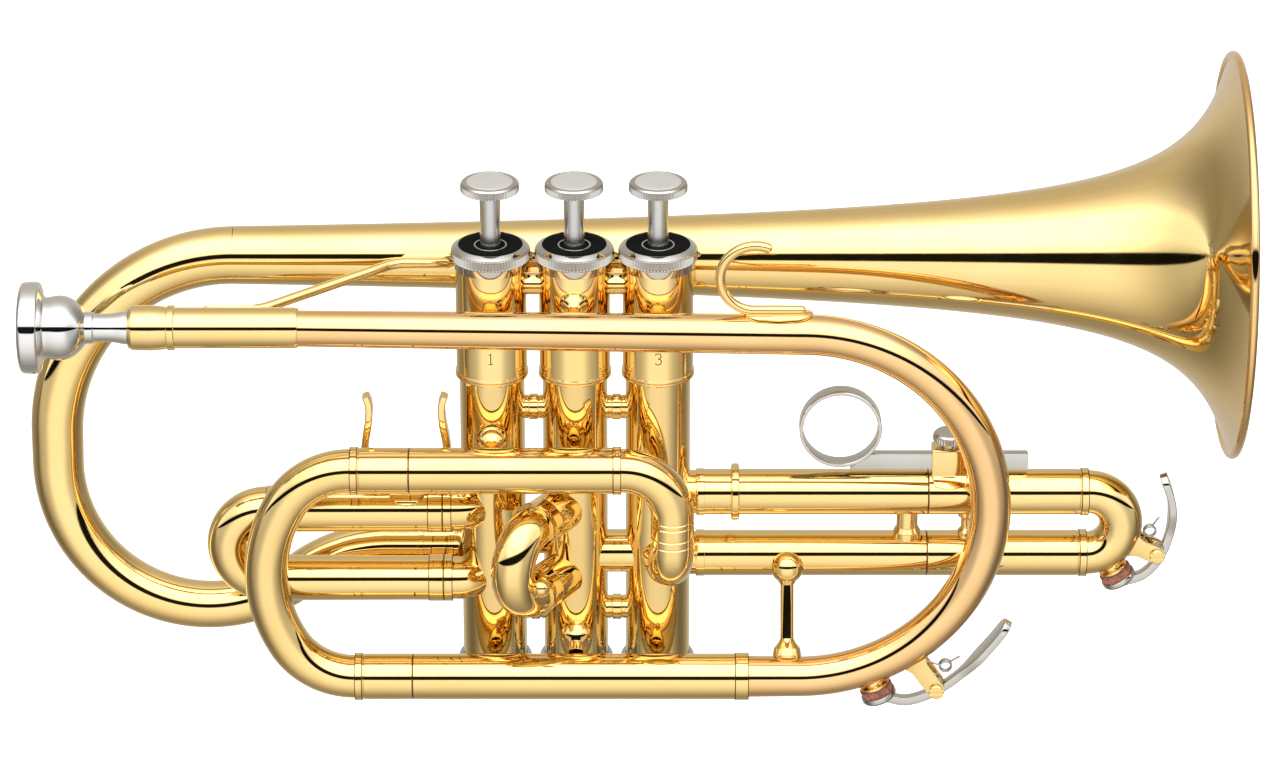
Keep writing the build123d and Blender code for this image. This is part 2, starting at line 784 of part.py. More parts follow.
def tube_braces():
    """The small posts that hold the tubes to the valve block and to each other."""
    lead_z = lead_end_z + (receiver_z - lead_end_z) * crook_start_x / (crook_start_x - lead_start_x)
    solid_lead = rod((-20, lead_y, lead_z), (20, lead_y, lead_z), 5.72)
    solid_high = rod((-40, lead_y, tuning_high_z), (10, lead_y, tuning_high_z), outer_r)
    solid_low = rod((-20, lead_y, tuning_low_z), (80, lead_y, tuning_low_z), outer_r)
    upper_core = Pos(0, 0, 50) * Cylinder(casing_top_r, 30)
    to_lead = brace_post((0, -8.0, 52.6), (0, -16.0, 51.0), 1.5, 5.2, 2.6)
    to_high = brace_post((valve_x[0], -6.0, 9.0), (valve_x[0], -16.0, 8.2), 2.2, 4.9, 3.0)
    to_low = brace_post((0, -6.0, -53.5), (0, -17.0, -57.4), 2.2, 4.9, 3.0)
    third_low = rod((40, third_y, third_z[1]), (102, third_y, third_z[1]), outer_r)
    third_high = rod((40, third_y, third_z[0]), (102, third_y, third_z[0]), outer_r)
    crook_leg = taper_solid(Line((70, lead_y, crook_low_z), (46.8, lead_y, crook_low_z)), crook_r, lead_end_r)
    long_post = rod((61.9, -6.0, -33.0), (61.9, -17.0, -58.5), 1.95)
    ball = Pos(61.9, -6.0, -33.4) * Sphere(4.9)
    base = Pos(61.9, -16.6, -57.4) * Sphere(4.2)
    cone = [(0, -27.5), (4.1, -27.5), (4.0, -24.2), (3.1, -22.6), (3.1, -16.0), (0, -16.0)]
    return [
        to_lead - upper_core - solid_lead,
        to_high - casing_core(0) - solid_high,
        to_low - casing_core(1) - solid_low,
        joined([long_post, ball, base]) - third_low - crook_leg,
        turned_z(cone, 97.1) - third_high - third_low,
    ]


def bell_brace():
    """The long S-shaped brace from the receiver to the bell."""
    lean = 20.0
    foot_y = lead_y + 7.25 * math.cos(math.radians(lean))
    foot_z = receiver_z + 7.25 * math.sin(math.radians(lean))
    path = FilletPolyline(
        (-106.0, foot_y, foot_z),
        (-90.0, foot_y, foot_z),
        (-52.0, bell_y - 11.5, bell_z + 2.4),
        (-36.0, bell_y - 11.0, bell_z + 2.2),
        radius=12,
    )
    wire = pipe_solid(path, 1.5)
    near = tube((-107.4, lead_y, receiver_z), (-86.1, lead_y, receiver_z), 6.75, 5.85)
    near = near & (Pos(-96.7, lead_y, receiver_z) * Rot(lean, 0, 0) * Pos(0, 8.6, 0) * Box(21.4, 8.0, 6.6))
    far = tube((-50.7, bell_y, bell_z), (-34.8, bell_y, bell_z), 10.9, 9.0)
    far = far & (Pos(-42.7, bell_y - 10.0, bell_z + 2.2) * Box(16.0, 5.0, 5.6))
    solid_bell = revolve(bell_slug(), Axis((0, bell_y, bell_z), (1, 0, 0)), 360)
    receiver_solid = rod((-112.0, lead_y, receiver_z), (-80.0, lead_y, receiver_z), 5.85)
    return joined([wire, near, far]) - solid_bell - receiver_solid


def bell_slug():
    """The outline of the solid bell tube near the brace, used for trimming."""
    outline = Polyline(
        (-60.0, bell_y, bell_z),
        (-60.0, bell_y, bell_z + bell_radius(-60.0)),
        (-25.0, bell_y, bell_z + bell_radius(-25.0)),
        (-25.0, bell_y, bell_z),
        close=True,
    )
    return make_face(outline)


def pipe_solid(path, r):
    """A round bar along a path."""
    return sweep(Plane(origin=path @ 0, z_dir=path % 0) * Circle(r), path=path)


def finger_hook():
    """The little-finger hook on top of the leadpipe."""
    r = 9.9
    cx = 51.4
    base_z = 54.6
    cz = base_z + r
    tip = math.radians(62)
    foot = Line((66.0, lead_y, base_z), (cx, lead_y, base_z))
    curl = ThreePointArc(
        (cx, lead_y, base_z), (cx - r, lead_y, cz), (cx + r * math.cos(tip), lead_y, cz + r * math.sin(tip))
    )
    hook = pipe_solid(Wire([foot, curl]), 1.35)
    plate = tube((48.3, lead_y, 47.2), (67.9, lead_y, 47.2), 7.0, 5.9)
    plate = plate & (Pos(58.1, lead_y, 54.6) * Box(19.6, 6.0, 5.0))
    return hook + plate


# ---- water keys -----------------------------------------------------------------------------
def polar(centre, angle, distance, y):
    """A point in the X-Z plane of a bow, by direction and distance from its centre."""
    a = math.radians(angle)
    return (centre[0] + distance * math.cos(a), y, centre[1] + distance * math.sin(a))


def key_mount(centre, tube_r, hole_angle, pivot, y, path_r):
    """The nipple over the drain hole, the two cheeks and the pivot screw of a water key."""
    surface = path_r + tube_r
    foot = polar(centre, hole_angle, surface - 1.5, y)
    mouth = polar(centre, hole_angle, surface + 1.1, y)
    flange = tube(polar(centre, hole_angle, surface + 0.3, y), mouth, 4.4, 1.3)
    nipple = joined([tube(foot, mouth, 2.9, 1.3), flange])
    angle = math.degrees(math.atan2(pivot[1] - centre[1], pivot[0] - centre[0]))
    reach = math.hypot(pivot[0] - centre[0], pivot[1] - centre[1])
    cheeks = []
    for side in (-1, 1):
        mid_y = y + side * 3.0
        root = polar(centre, angle, surface - 2.5, mid_y)
        rise = reach - surface + 2.5
        outward = Vector(math.cos(math.radians(angle)), 0, math.sin(math.radians(angle)))
        plane = Plane(origin=root, x_dir=(0, 1, 0), z_dir=outward)
        cheek = plane * (Pos(0, 0, rise / 2) * Box(1.0, 5.2, rise))
        cheek = cheek + rod((pivot[0], mid_y - 0.5, pivot[1]), (pivot[0], mid_y + 0.5, pivot[1]), 2.6)
        cheek = cheek - rod((pivot[0], mid_y - 1, pivot[1]), (pivot[0], mid_y + 1, pivot[1]), 1.1)
        cheeks.append(cheek)
    screw = rod((pivot[0], y - 3.7, pivot[1]), (pivot[0], y + 4.0, pivot[1]), 1.0)
    screw = screw + rod((pivot[0], y - 4.6, pivot[1]), (pivot[0], y - 3.55, pivot[1]), 2.2)
    slot = Pos(pivot[0], y - 4.6, pivot[1]) * Box(5.0, 0.8, 0.6)
    return [nipple] + cheeks + [screw - slot]


def key_lever(centre, reach, hole_angle, pivot, route, y):
    """A water-key lever: the cork cup, the arm with its hub, and the finger plate."""
    cup_in = reach + 2.4
    back = polar(centre, hole_angle + 1.5, cup_in + 2.7, 0)
    route = [(back[0], back[2])] + route
    lip = polar(centre, hole_angle, cup_in, y)
    floor = polar(centre, hole_angle, cup_in + 1.2, y)
    cup = tube(lip, floor, 5.2, 4.86) + rod(floor, polar(centre, hole_angle, cup_in + 2.2, y), 5.2)
    arm_line = Spline(*route)
    arm = Plane.XZ * trace(arm_line, 2.5)
    arm = Pos(0, y + 1.6, 0) * extrude(arm, 3.2)
    plate_line = Spline(*route[3:])
    plate = Plane.XZ * trace(plate_line, 2.5)
    plate = Pos(0, y + 3.3, 0) * extrude(plate, 6.6)
    hub = rod((pivot[0], y - 2.35, pivot[1]), (pivot[0], y + 2.35, pivot[1]), 2.3)
    lever = joined([cup, arm, plate, hub])
    return lever - rod((pivot[0], y - 5, pivot[1]), (pivot[0], y + 5, pivot[1]), 1.08)


def key_cork(centre, reach, hole_angle, y):
    """The cork that seals the drain hole."""
    return rod(polar(centre, hole_angle, reach + 0.05, y), polar(centre, hole_angle, reach + 3.6, y), 4.85)


def key_spring(eye, y, legs):
    """The torsion spring of a water key: three turns of wire and two legs."""
    turns = []
    for i in range(3):
        turns.append(Pos(eye[0], y - 0.62 + i * 0.62, eye[1]) * Rot(90, 0, 0) * Torus(1.7, 0.32))
    inside = rod((eye[0], y - 2, eye[1]), (eye[0], y + 2, eye[1]), 1.5)
    wires = [rod((eye[0], y, eye[1]), (x, y, z), 0.32) - inside for x, z in legs]
    return joined(turns + wires)


crook_pivot = (105.5, -65.6)
crook_hole = -69.0        # direction of the drain hole from the centre of the bend
slide_pivot = (170.5, -31.2)
slide_hole = -61.0


def crook_key_place():
    """Bend centre, radius of its outer wall, hole direction and pivot of the crook's key."""
    centre_x, centre_z, path_r = crook_centre()
    return (centre_x, centre_z), path_r + crook_r + 1.15, crook_hole, crook_pivot


def slide_key_place():
    """Bend centre, radius of its outer wall, hole direction and pivot of the slide's key."""
    path_r = (third_z[0] - third_z[1]) / 2
    centre = (third_bow_x, (third_z[0] + third_z[1]) / 2)
    return centre, path_r + bow_r + 1.15, slide_hole, slide_pivot


def crook_key_mount():
    """Nipple, cheeks and pivot screw on the front crook."""
    centre_x, centre_z, path_r = crook_centre()
    body = Pos(centre_x, lead_y, centre_z) * Rot(90, 0, 0) * Torus(path_r, crook_r)
    pieces = key_mount((centre_x, centre_z), crook_r, crook_hole, crook_pivot, lead_y, path_r)
    return [piece - body for piece in pieces]


def slide_key_mount():
    """Nipple, cheeks and pivot screw on the bow of the third slide."""
    centre, _, _, _ = slide_key_place()
    path_r = (third_z[0] - third_z[1]) / 2
    body = Pos(centre[0], third_y, centre[1]) * Rot(90, 0, 0) * Torus(path_r, bow_r)
    pieces = key_mount(centre, bow_r, slide_hole, slide_pivot, third_y, path_r)
    return [piece - body for piece in pieces]


# centre lines of the two levers, past the pivot to the tip of the finger plate
crook_route = [(97.5, -70.2), (105.6, -67.0), (113.5, -60.8), (121.0, -52.0), (126.4, -44.3)]
slide_route = [(167.0, -38.6), (171.6, -32.9), (174.4, -24.0), (174.4, -15.0), (171.5, -6.1)]


# ---- third-slide ring -----------------------------------------------------------------------
ring_x = 77.1
ring_z = 9.2
ring_r = 12.1
ring_wall = 1.3
ring_width = 5.3
bar_height = 4.9
bar_width = 3.2
bar_low_z = -4.0           # 1.1 above the third slide's upper tube
bar_end = 131.9
holder_x = 109.1
holder_length = 10.6
holder_wall = 1.9
holder_top_z = 3.0
screw_seat_z = 4.8         # underside of the knurled head
screw_head_r = 5.0


def finger_ring():
    """The third-finger ring and the flat bar that slides in the holder."""
    half = ring_width / 2
    band = tube((ring_x, -half, ring_z), (ring_x, half, ring_z), ring_r, ring_r - ring_wall)
    bar_start = ring_x + 3
    bar_z = bar_low_z + bar_height / 2
    bar = Pos((bar_start + bar_end) / 2, 0, bar_z) * Box(bar_end - bar_start, bar_width, bar_height)
    core = rod((ring_x, -10, ring_z), (ring_x, 10, ring_z), ring_r - ring_wall)
    return band + (bar - core)


def ring_holder():
    """The box on the third slide that clamps the ring's bar."""
    gap = 0.06
    bar_top = bar_low_z + bar_height
    height = holder_top_z - third_z[0] - outer_r + 1.5
    width = bar_width + 2 * holder_wall
    outer = Pos(holder_x, 0, holder_top_z - height / 2) * Box(holder_length, width, height)
    tunnel = Box(holder_length + 2, bar_width + 2 * gap, bar_height + 2 * gap)
    tunnel = Pos(holder_x, 0, bar_low_z + bar_height / 2) * tunnel
    saddle = tube((holder_x - 5.2, 0, third_z[0]), (holder_x + 5.2, 0, third_z[0]), outer_r + 0.9, outer_r)
    saddle = saddle & (Pos(holder_x, 0, third_z[0] + 7.8) * Box(12, 14, 8))
    solid_tube = rod((holder_x - 10, 0, third_z[0]), (holder_x + 10, 0, third_z[0]), outer_r)
    hole = rod((holder_x, 0, bar_top - 1), (holder_x, 0, holder_top_z + 1), 1.5)
    return (outer + saddle) - tunnel - solid_tube - hole


def ring_thumbscrew():
    """The knurled thumbscrew that locks the ring's bar."""
    low = bar_low_z + bar_height + 0.1
    collar_z = holder_top_z + 0.1
    profile = [
        (0.0, low),
        (1.45, low),
        (1.45, collar_z),
        (2.6, collar_z),
        (2.6, screw_seat_z),
        (screw_head_r - 0.2, screw_seat_z),
        (screw_head_r, screw_seat_z + 0.3),
        (screw_head_r, screw_seat_z + 2.1),
        (screw_head_r - 0.7, screw_seat_z + 2.8),
        (2.5, screw_seat_z + 2.6),
        (0.0, screw_seat_z + 2.5),
    ]
    return turned_z(profile, holder_x)


def third_slide_brace():
    """The brace between the two moving tubes of the third slide."""
    x = 114.5
    waist = [(2.6, -24), (1.6, -22.8), (1.6, -20.7), (2.6, -19.5)]
    shape = turned_z([(0, -28), (2.6, -28)] + waist + [(2.6, -15), (0, -15)], x)
    for z in third_z:
        shape = shape - rod((x - 6, 0, z), (x + 6, 0, z), outer_r)
    return shape


# ---- mouthpiece -----------------------------------------------------------------------------
def mouthpiece():
    """The mouthpiece: rim, cup, throat and the tapered shank."""
    profile = [
        (-156.5, 8.1),
        (-157.1, 8.7),
        (-157.35, 9.8),
        (-157.25, 11.4),
        (-156.8, 12.6),
        (-156.0, 13.1),
        (-152.2, 13.1),
        (-151.4, 12.6),
        (-151.0, 10.2),
        (-150.2, 8.6),
        (-148.6, 8.9),
        (-146.5, 9.3),
        (-144.2, 9.1),
        (-142.0, 8.1),
        (-140.2, 6.6),
        (-139.0, 5.0),
        (-138.6, 4.5),
        (-136.6, 4.5),
        (-136.2, 4.0),
        (-133.0, 3.95),
        (-130.5, 4.2),
        (-128.6, 4.6),
        (-127.0, 4.8),
        (-98.0, 4.45),
        (-98.0, 3.4),
        (-142.5, 1.85),
        (-144.5, 1.85),
        (-146.8, 3.6),
        (-149.5, 6.0),
        (-152.5, 7.4),
        (-155.5, 8.0),
    ]
    return turned_x(profile, lead_y, receiver_z)


# ---- write every sub-part -------------------------------------------------------------------
def main():
    keep(bell_flare(), "bell_flare")
    keep(bell_stem(), "bell_stem")
    keep(bell_rim_wire(), "bell_rim_wire")
    keep(group(tube_ferrules()), "tube_ferrules")
    keep(mouthpiece_receiver(), "mouthpiece_receiver")
    keep(leadpipe(), "leadpipe")
    keep(group(tuning_outer_tubes()), "tuning_outer_tubes")
    keep(valve_elbow(), "valve_elbow")
    for i, x in enumerate(valve_x):
        keep(valve_casing(i), f"valve_casing_{i + 1}")
        keep(piston(x), f"piston_{i + 1}", "silver")
        keep(valve_stem(x), f"valve_stem_{i + 1}", "silver")
        keep(finger_button(x), f"finger_button_{i + 1}", "silver")
        keep(button_inlay(x), f"button_inlay_{i + 1}", "whitesmoke")
        keep(valve_spring(x), f"valve_spring_{i + 1}", "gray")
    keep(group(intervalve_tubes()), "intervalve_tubes")
    keep(group(casing_spacers()), "casing_spacers")
    keep(group([top_cap(x) for x in valve_x]), "top_caps", "silver")
    keep(group([bottom_cap(x) for x in valve_x]), "bottom_caps", "silver")
    keep(group([cap_felt(x) for x in valve_x]), "cap_felts", "black")
    keep(group([valve_guide(x) for x in valve_x]), "valve_guides", "khaki")
    keep(group(first_slide_inner_tubes()), "first_slide_inner_tubes")
    keep(group(second_slide_tubes()), "second_slide_tubes")
    keep(group(third_slide_tubes()), "third_slide_tubes")
    keep(group(tube_braces()), "tube_braces")
    keep(bell_brace(), "bell_brace")
    keep(finger_hook(), "finger_hook")
    keep(tuning_slide_bow(), "tuning_slide_bow")
    keep(group(tuning_slide_legs()), "tuning_slide_legs")
    keep(first_slide_bow(), "first_slide_bow")
    keep(group(first_slide_sleeves()), "first_slide_sleeves")
    keep(thumb_saddle(), "thumb_saddle", "khaki")
    keep(second_slide_bow(), "second_slide_bow")
    keep(group(second_slide_legs()), "second_slide_legs")
    keep(third_slide_bow(), "third_slide_bow")
    keep(group(third_slide_legs()), "third_slide_legs")
    keep(third_slide_brace(), "third_slide_brace")
    keep(ring_holder(), "ring_holder")
    keep(finger_ring(), "finger_ring", "silver")
    keep(ring_thumbscrew(), "ring_thumbscrew", "silver")
    keep(mouthpiece(), "mouthpiece", "silver")
    keep(group(crook_key_mount()), "crook_key_mount")
    keep(group(slide_key_mount()), "slide_key_mount")
    keep(key_lever(*crook_key_place(), crook_route, lead_y), "crook_key", "silver")
    keep(key_lever(*slide_key_place(), slide_route, third_y), "slide_key", "silver")
    keep(key_cork(*crook_key_place()[:3], lead_y), "crook_key_cork", "sienna")
    keep(key_cork(*slide_key_place()[:3], third_y), "slide_key_cork", "sienna")
    keep(key_spring((108.2, -58.9), lead_y, [(102.1, -56.6), (112.4, -56.4)]), "crook_key_spring", "gray")
    keep(key_spring((168.4, -24.6), third_y, [(165.4, -27.1), (171.0, -20.6)]), "slide_key_spring", "gray")


if __name__ == "__main__":
    main()
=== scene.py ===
from math import acos, atan2, ceil, cos, hypot, pi, radians, sin, sqrt, tan

import bmesh
import bpy
import numpy as np
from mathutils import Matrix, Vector


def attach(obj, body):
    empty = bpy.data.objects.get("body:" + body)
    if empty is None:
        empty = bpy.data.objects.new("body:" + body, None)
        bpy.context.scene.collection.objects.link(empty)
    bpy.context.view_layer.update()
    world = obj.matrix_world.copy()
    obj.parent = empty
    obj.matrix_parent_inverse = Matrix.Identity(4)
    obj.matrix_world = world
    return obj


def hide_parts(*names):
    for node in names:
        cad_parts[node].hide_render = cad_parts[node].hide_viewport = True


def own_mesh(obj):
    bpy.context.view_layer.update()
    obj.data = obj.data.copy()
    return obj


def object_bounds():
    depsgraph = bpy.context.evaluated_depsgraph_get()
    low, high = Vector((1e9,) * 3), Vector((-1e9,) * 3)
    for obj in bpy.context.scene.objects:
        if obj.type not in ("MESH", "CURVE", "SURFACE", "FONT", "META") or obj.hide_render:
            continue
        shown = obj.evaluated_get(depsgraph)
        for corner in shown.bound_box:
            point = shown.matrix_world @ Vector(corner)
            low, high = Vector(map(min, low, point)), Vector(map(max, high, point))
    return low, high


# A B-flat cornet: polished lacquered brass with nickel-silver caps, buttons, keys and mouthpiece.
# Lengths in this script are millimetres, in the CAD's frame, and turn into metres when a mesh is made.

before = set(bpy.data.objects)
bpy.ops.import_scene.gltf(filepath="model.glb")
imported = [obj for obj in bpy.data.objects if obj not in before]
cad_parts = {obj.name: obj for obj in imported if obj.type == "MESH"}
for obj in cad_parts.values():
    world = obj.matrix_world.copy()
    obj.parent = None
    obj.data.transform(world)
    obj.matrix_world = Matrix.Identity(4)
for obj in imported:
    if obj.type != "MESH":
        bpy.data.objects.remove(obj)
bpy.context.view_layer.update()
MM = 0.001

# ---- driving dimensions, the same as in the CAD -----------------------------------------------
BORE_R = 5.825
INNER_R = 6.25
OUTER_R = 6.70
OUTER_BORE_R = 6.29
BOW_R = 6.30
FERRULE_R = 6.95
BAND_R = 6.85
SEAT_GAP = 0.05
FERRULE_LENGTH = 2.2
LINE_HALF = 0.11            # half the width of a parting line
BOW_WALL = 0.48

VALVE_X = [-24.0, 0.0, 24.0]
CASING_R = 9.4
CASING_TOP_R = 10.2
CASING_BORE = 8.5
SPRING_BORE = 9.3
CASING_BOTTOM = -69.2
CASING_SEAM = 27.4
CASING_SHOULDER = 60.1
CASING_TOP = 63.4
CASING_BEAD = 0.35          # how far the seam bead stands out
EMBED = 0.45                # how far a tube's end goes into a casing's wall
CAP_R = 11.4
CAP_SKIRT_R = 10.55
CAP_TOP = 66.8
KNURL_BOTTOM = 62.7
KNURL_TOP = 65.9
FELT_R = 9.25
CAP_HOLE_R = 4.3
CAP_RING_R = 4.75
STEM_R = 2.95
STEM_BOTTOM = 60.6
BUTTON_R = 8.4
BUTTON_BOTTOM = 83.2
BUTTON_TOP = 86.2
INLAY_R = 6.7
INLAY_DEPTH = 0.8
THREAD_R = 1.75             # the screwed ends of a stem

LEAD_Y = -19.5
LEAD_START = -95.0
LEAD_START_R = 5.1
CROOK_R = 5.85
LEAD_END_R = 6.1
LEAD_WALL = 0.5
RECEIVER_Z = 49.2
LEAD_END_Z = 47.1
CROOK_START_X = 66.0
CROOK_LOW_Z = -62.5
TUNING_HIGH_Z = 4.2
TUNING_LOW_Z = CROOK_LOW_Z
TUNING_PART_X = -47.6
TUNING_BOW_X = -64.6
BELL_Y = 24.5
BELL_Z = 52.9
PASSAGE_12_Z = -25.0
PASSAGE_23_Z = -31.0

FIRST_Y = -6.0
FIRST_Z = [-14.5, -36.9]
FIRST_BOW_X = -89.8
FIRST_PART_X = -38.6
FIRST_PORT = 215.0
KNUCKLE_R = 6.6
SADDLE_X = -49.0
SADDLE_TOP_Z = 22.0
SECOND_Z = [-14.3, -35.8]
SECOND_PORT = 237.0
SECOND_BOW_T = 22.1
SECOND_PART_T = 16.5
THIRD_Z = [-11.8, -31.7]
ELBOW_START_X = 11.0
ELBOW_LOW_Z = -29.2
ELBOW_BAND = 2.4            # length of the elbow's ferrule
SOCKET_X = 46.7             # the ferrule that joins the crook to the lower tuning tube
SOCKET_END = 50.5
THIRD_PART_X = 102.9
THIRD_BOW_X = 149.8

BELL_RIM_X = 191.3
BELL_RIM_R = 59.5
BELL_START_X = -99.5
BELL_WALL = 0.5
RIM_WIRE_R = 1.35
BOW_TILT = 9.8
BOW_HIGH_R = 53.0
BOW_DROP = 9.4
BOW_LOW_R = 44.0
BOW_RISE = 38.0
TAIL_X = -31.6
TAIL_R = 6.5

ROUND = 96                  # faces round a tube
ARC_STEP = radians(2.5)


# ---- materials --------------------------------------------------------------------------------
def new_material(name):
    """An empty node material with its Principled shader."""
    material = bpy.data.materials.new(name)
    material.use_nodes = True
    tree = material.node_tree
    shader = tree.nodes["Principled BSDF"]
    return material, tree, shader


def noise(tree, scale, detail=3.0, stretch=(1, 1, 1), roughness=0.5):
    """A noise texture in the piece's own space, with a stretch along its axes."""
    place = tree.nodes.new("ShaderNodeTexCoord")
    mapping = tree.nodes.new("ShaderNodeMapping")
    mapping.inputs["Scale"].default_value = stretch
    texture = tree.nodes.new("ShaderNodeTexNoise")
    texture.inputs["Scale"].default_value = scale
    texture.inputs["Detail"].default_value = detail
    texture.inputs["Roughness"].default_value = roughness
    tree.links.new(place.outputs["Object"], mapping.inputs["Vector"])
    tree.links.new(mapping.outputs["Vector"], texture.inputs["Vector"])
    return texture.outputs["Fac"]


def ramp(tree, source, low, high, stops=(0.3, 0.7)):
    """Blend between two colours by a value."""
    node = tree.nodes.new("ShaderNodeValToRGB")
    node.color_ramp.elements[0].position = stops[0]
    node.color_ramp.elements[1].position = stops[1]
    node.color_ramp.elements[0].color = (*low, 1)
    node.color_ramp.elements[1].color = (*high, 1)
    tree.links.new(source, node.inputs["Fac"])
    return node.outputs["Color"]


def spread(tree, source, low, high):
    """Map a noise value from its usual middle range to low .. high."""
    node = tree.nodes.new("ShaderNodeMapRange")
    node.inputs["From Min"].default_value = 0.3
    node.inputs["From Max"].default_value = 0.7
    node.inputs["To Min"].default_value = low
    node.inputs["To Max"].default_value = high
    tree.links.new(source, node.inputs["Value"])
    return node.outputs["Result"]


def bump(tree, shader, source, distance, strength=1.0, after=None):
    """Add a bump of that height in metres."""
    node = tree.nodes.new("ShaderNodeBump")
    node.inputs["Strength"].default_value = strength
    node.inputs["Distance"].default_value = distance
    tree.links.new(source, node.inputs["Height"])
    if after is not None:
        tree.links.new(after, node.inputs["Normal"])
    tree.links.new(node.outputs["Normal"], shader.inputs["Normal"])
    return node.outputs["Normal"]


def polished_metal(name, pale, deep, rough=(0.03, 0.07), coat=0.5, wave=2e-6):
    """Buffed metal: a slow drift of colour and gloss, faint buffing waves and hairline marks."""
    material, tree, shader = new_material(name)
    shader.inputs["Metallic"].default_value = 1.0
    shader.inputs["Coat Weight"].default_value = coat
    shader.inputs["Coat Roughness"].default_value = 0.03
    shader.inputs["Coat IOR"].default_value = 1.45
    tree.links.new(ramp(tree, noise(tree, 38, 2), deep, pale), shader.inputs["Base Color"])
    tree.links.new(spread(tree, noise(tree, 160, 4), *rough), shader.inputs["Roughness"])
    slow = bump(tree, shader, noise(tree, 90, 1), wave * 10)
    bump(tree, shader, noise(tree, 2400, 2, (0.15, 1, 1)), wave, 0.5, slow)
    return material


def satin_metal(name, pale, deep, gloss=(0.24, 0.36), marks=4e-6):
    """Brushed nickel silver with fine turning marks."""
    material, tree, shader = new_material(name)
    shader.inputs["Metallic"].default_value = 1.0
    tree.links.new(ramp(tree, noise(tree, 300, 3), deep, pale), shader.inputs["Base Color"])
    tree.links.new(spread(tree, noise(tree, 900, 3), *gloss), shader.inputs["Roughness"])
    bump(tree, shader, noise(tree, 5200, 2, (1, 1, 0.2)), marks, 0.6)
    return material


def felt_material():
    """Black pressed wool felt."""
    material, tree, shader = new_material("black_felt")
    shader.inputs["Sheen Weight"].default_value = 0.03
    shader.inputs["Sheen Roughness"].default_value = 0.5
    shader.inputs["Specular IOR Level"].default_value = 0.05
    fibres = noise(tree, 2600, 4)
    black = ramp(tree, fibres, (0.001, 0.001, 0.001), (0.006, 0.006, 0.006))
    tree.links.new(black, shader.inputs["Base Color"])
    tree.links.new(spread(tree, fibres, 0.85, 1.0), shader.inputs["Roughness"])
    bump(tree, shader, fibres, 1.5e-4)
    return material


def cork_material():
    """Pressed red-brown cork with darker grains."""
    material, tree, shader = new_material("red_brown_cork")
    cells = tree.nodes.new("ShaderNodeTexVoronoi")
    cells.inputs["Scale"].default_value = 900
    place = tree.nodes.new("ShaderNodeTexCoord")
    tree.links.new(place.outputs["Object"], cells.inputs["Vector"])
    grain = ramp(tree, cells.outputs["Distance"], (0.42, 0.16, 0.10), (0.20, 0.062, 0.04), (0.1, 0.8))
    tree.links.new(grain, shader.inputs["Base Color"])
    tree.links.new(spread(tree, noise(tree, 1500), 0.6, 0.85), shader.inputs["Roughness"])
    bump(tree, shader, cells.outputs["Distance"], 1.2e-4, 0.8)
    return material


def nylon_material():
    """Ivory nylon of the valve guides."""
    material, tree, shader = new_material("ivory_nylon")
    shader.inputs["Subsurface Weight"].default_value = 0.15
    ivory = ramp(tree, noise(tree, 420), (0.70, 0.66, 0.55), (0.80, 0.77, 0.68))
    tree.links.new(ivory, shader.inputs["Base Color"])
    tree.links.new(spread(tree, noise(tree, 1100), 0.4, 0.55), shader.inputs["Roughness"])
    bump(tree, shader, noise(tree, 3000), 1e-5)
    return material


BRASS = polished_metal("lacquered_yellow_brass", (0.93, 0.69, 0.30), (0.90, 0.65, 0.25))
ROSE = polished_metal("lacquered_gold_brass", (0.92, 0.61, 0.29), (0.88, 0.565, 0.25))
RIM = polished_metal("rolled_rim_brass", (0.90, 0.60, 0.26), (0.85, 0.53, 0.20))
NICKEL = polished_metal("polished_nickel_silver", (0.62, 0.61, 0.58), (0.55, 0.54, 0.51), (0.05, 0.10), 0.0)
SILVER = polished_metal("silver_plate", (0.78, 0.78, 0.775), (0.72, 0.72, 0.72), (0.03, 0.06), 0.0)
SATIN = satin_metal("satin_nickel_silver", (0.64, 0.64, 0.635), (0.60, 0.60, 0.60), (0.26, 0.32), 2e-6)
INLAY = satin_metal("smooth_button_inlay", (0.86, 0.86, 0.855), (0.84, 0.84, 0.84), (0.46, 0.54), 1e-6)
HONED = satin_metal("honed_piston_alloy", (0.66, 0.65, 0.62), (0.58, 0.57, 0.55))
STEEL = satin_metal("bright_spring_steel", (0.50, 0.50, 0.51), (0.40, 0.40, 0.41))
ENGRAVED = satin_metal("engraved_line", (0.10, 0.06, 0.03), (0.06, 0.035, 0.02))
FELT = felt_material()
CORK = cork_material()
NYLON = nylon_material()


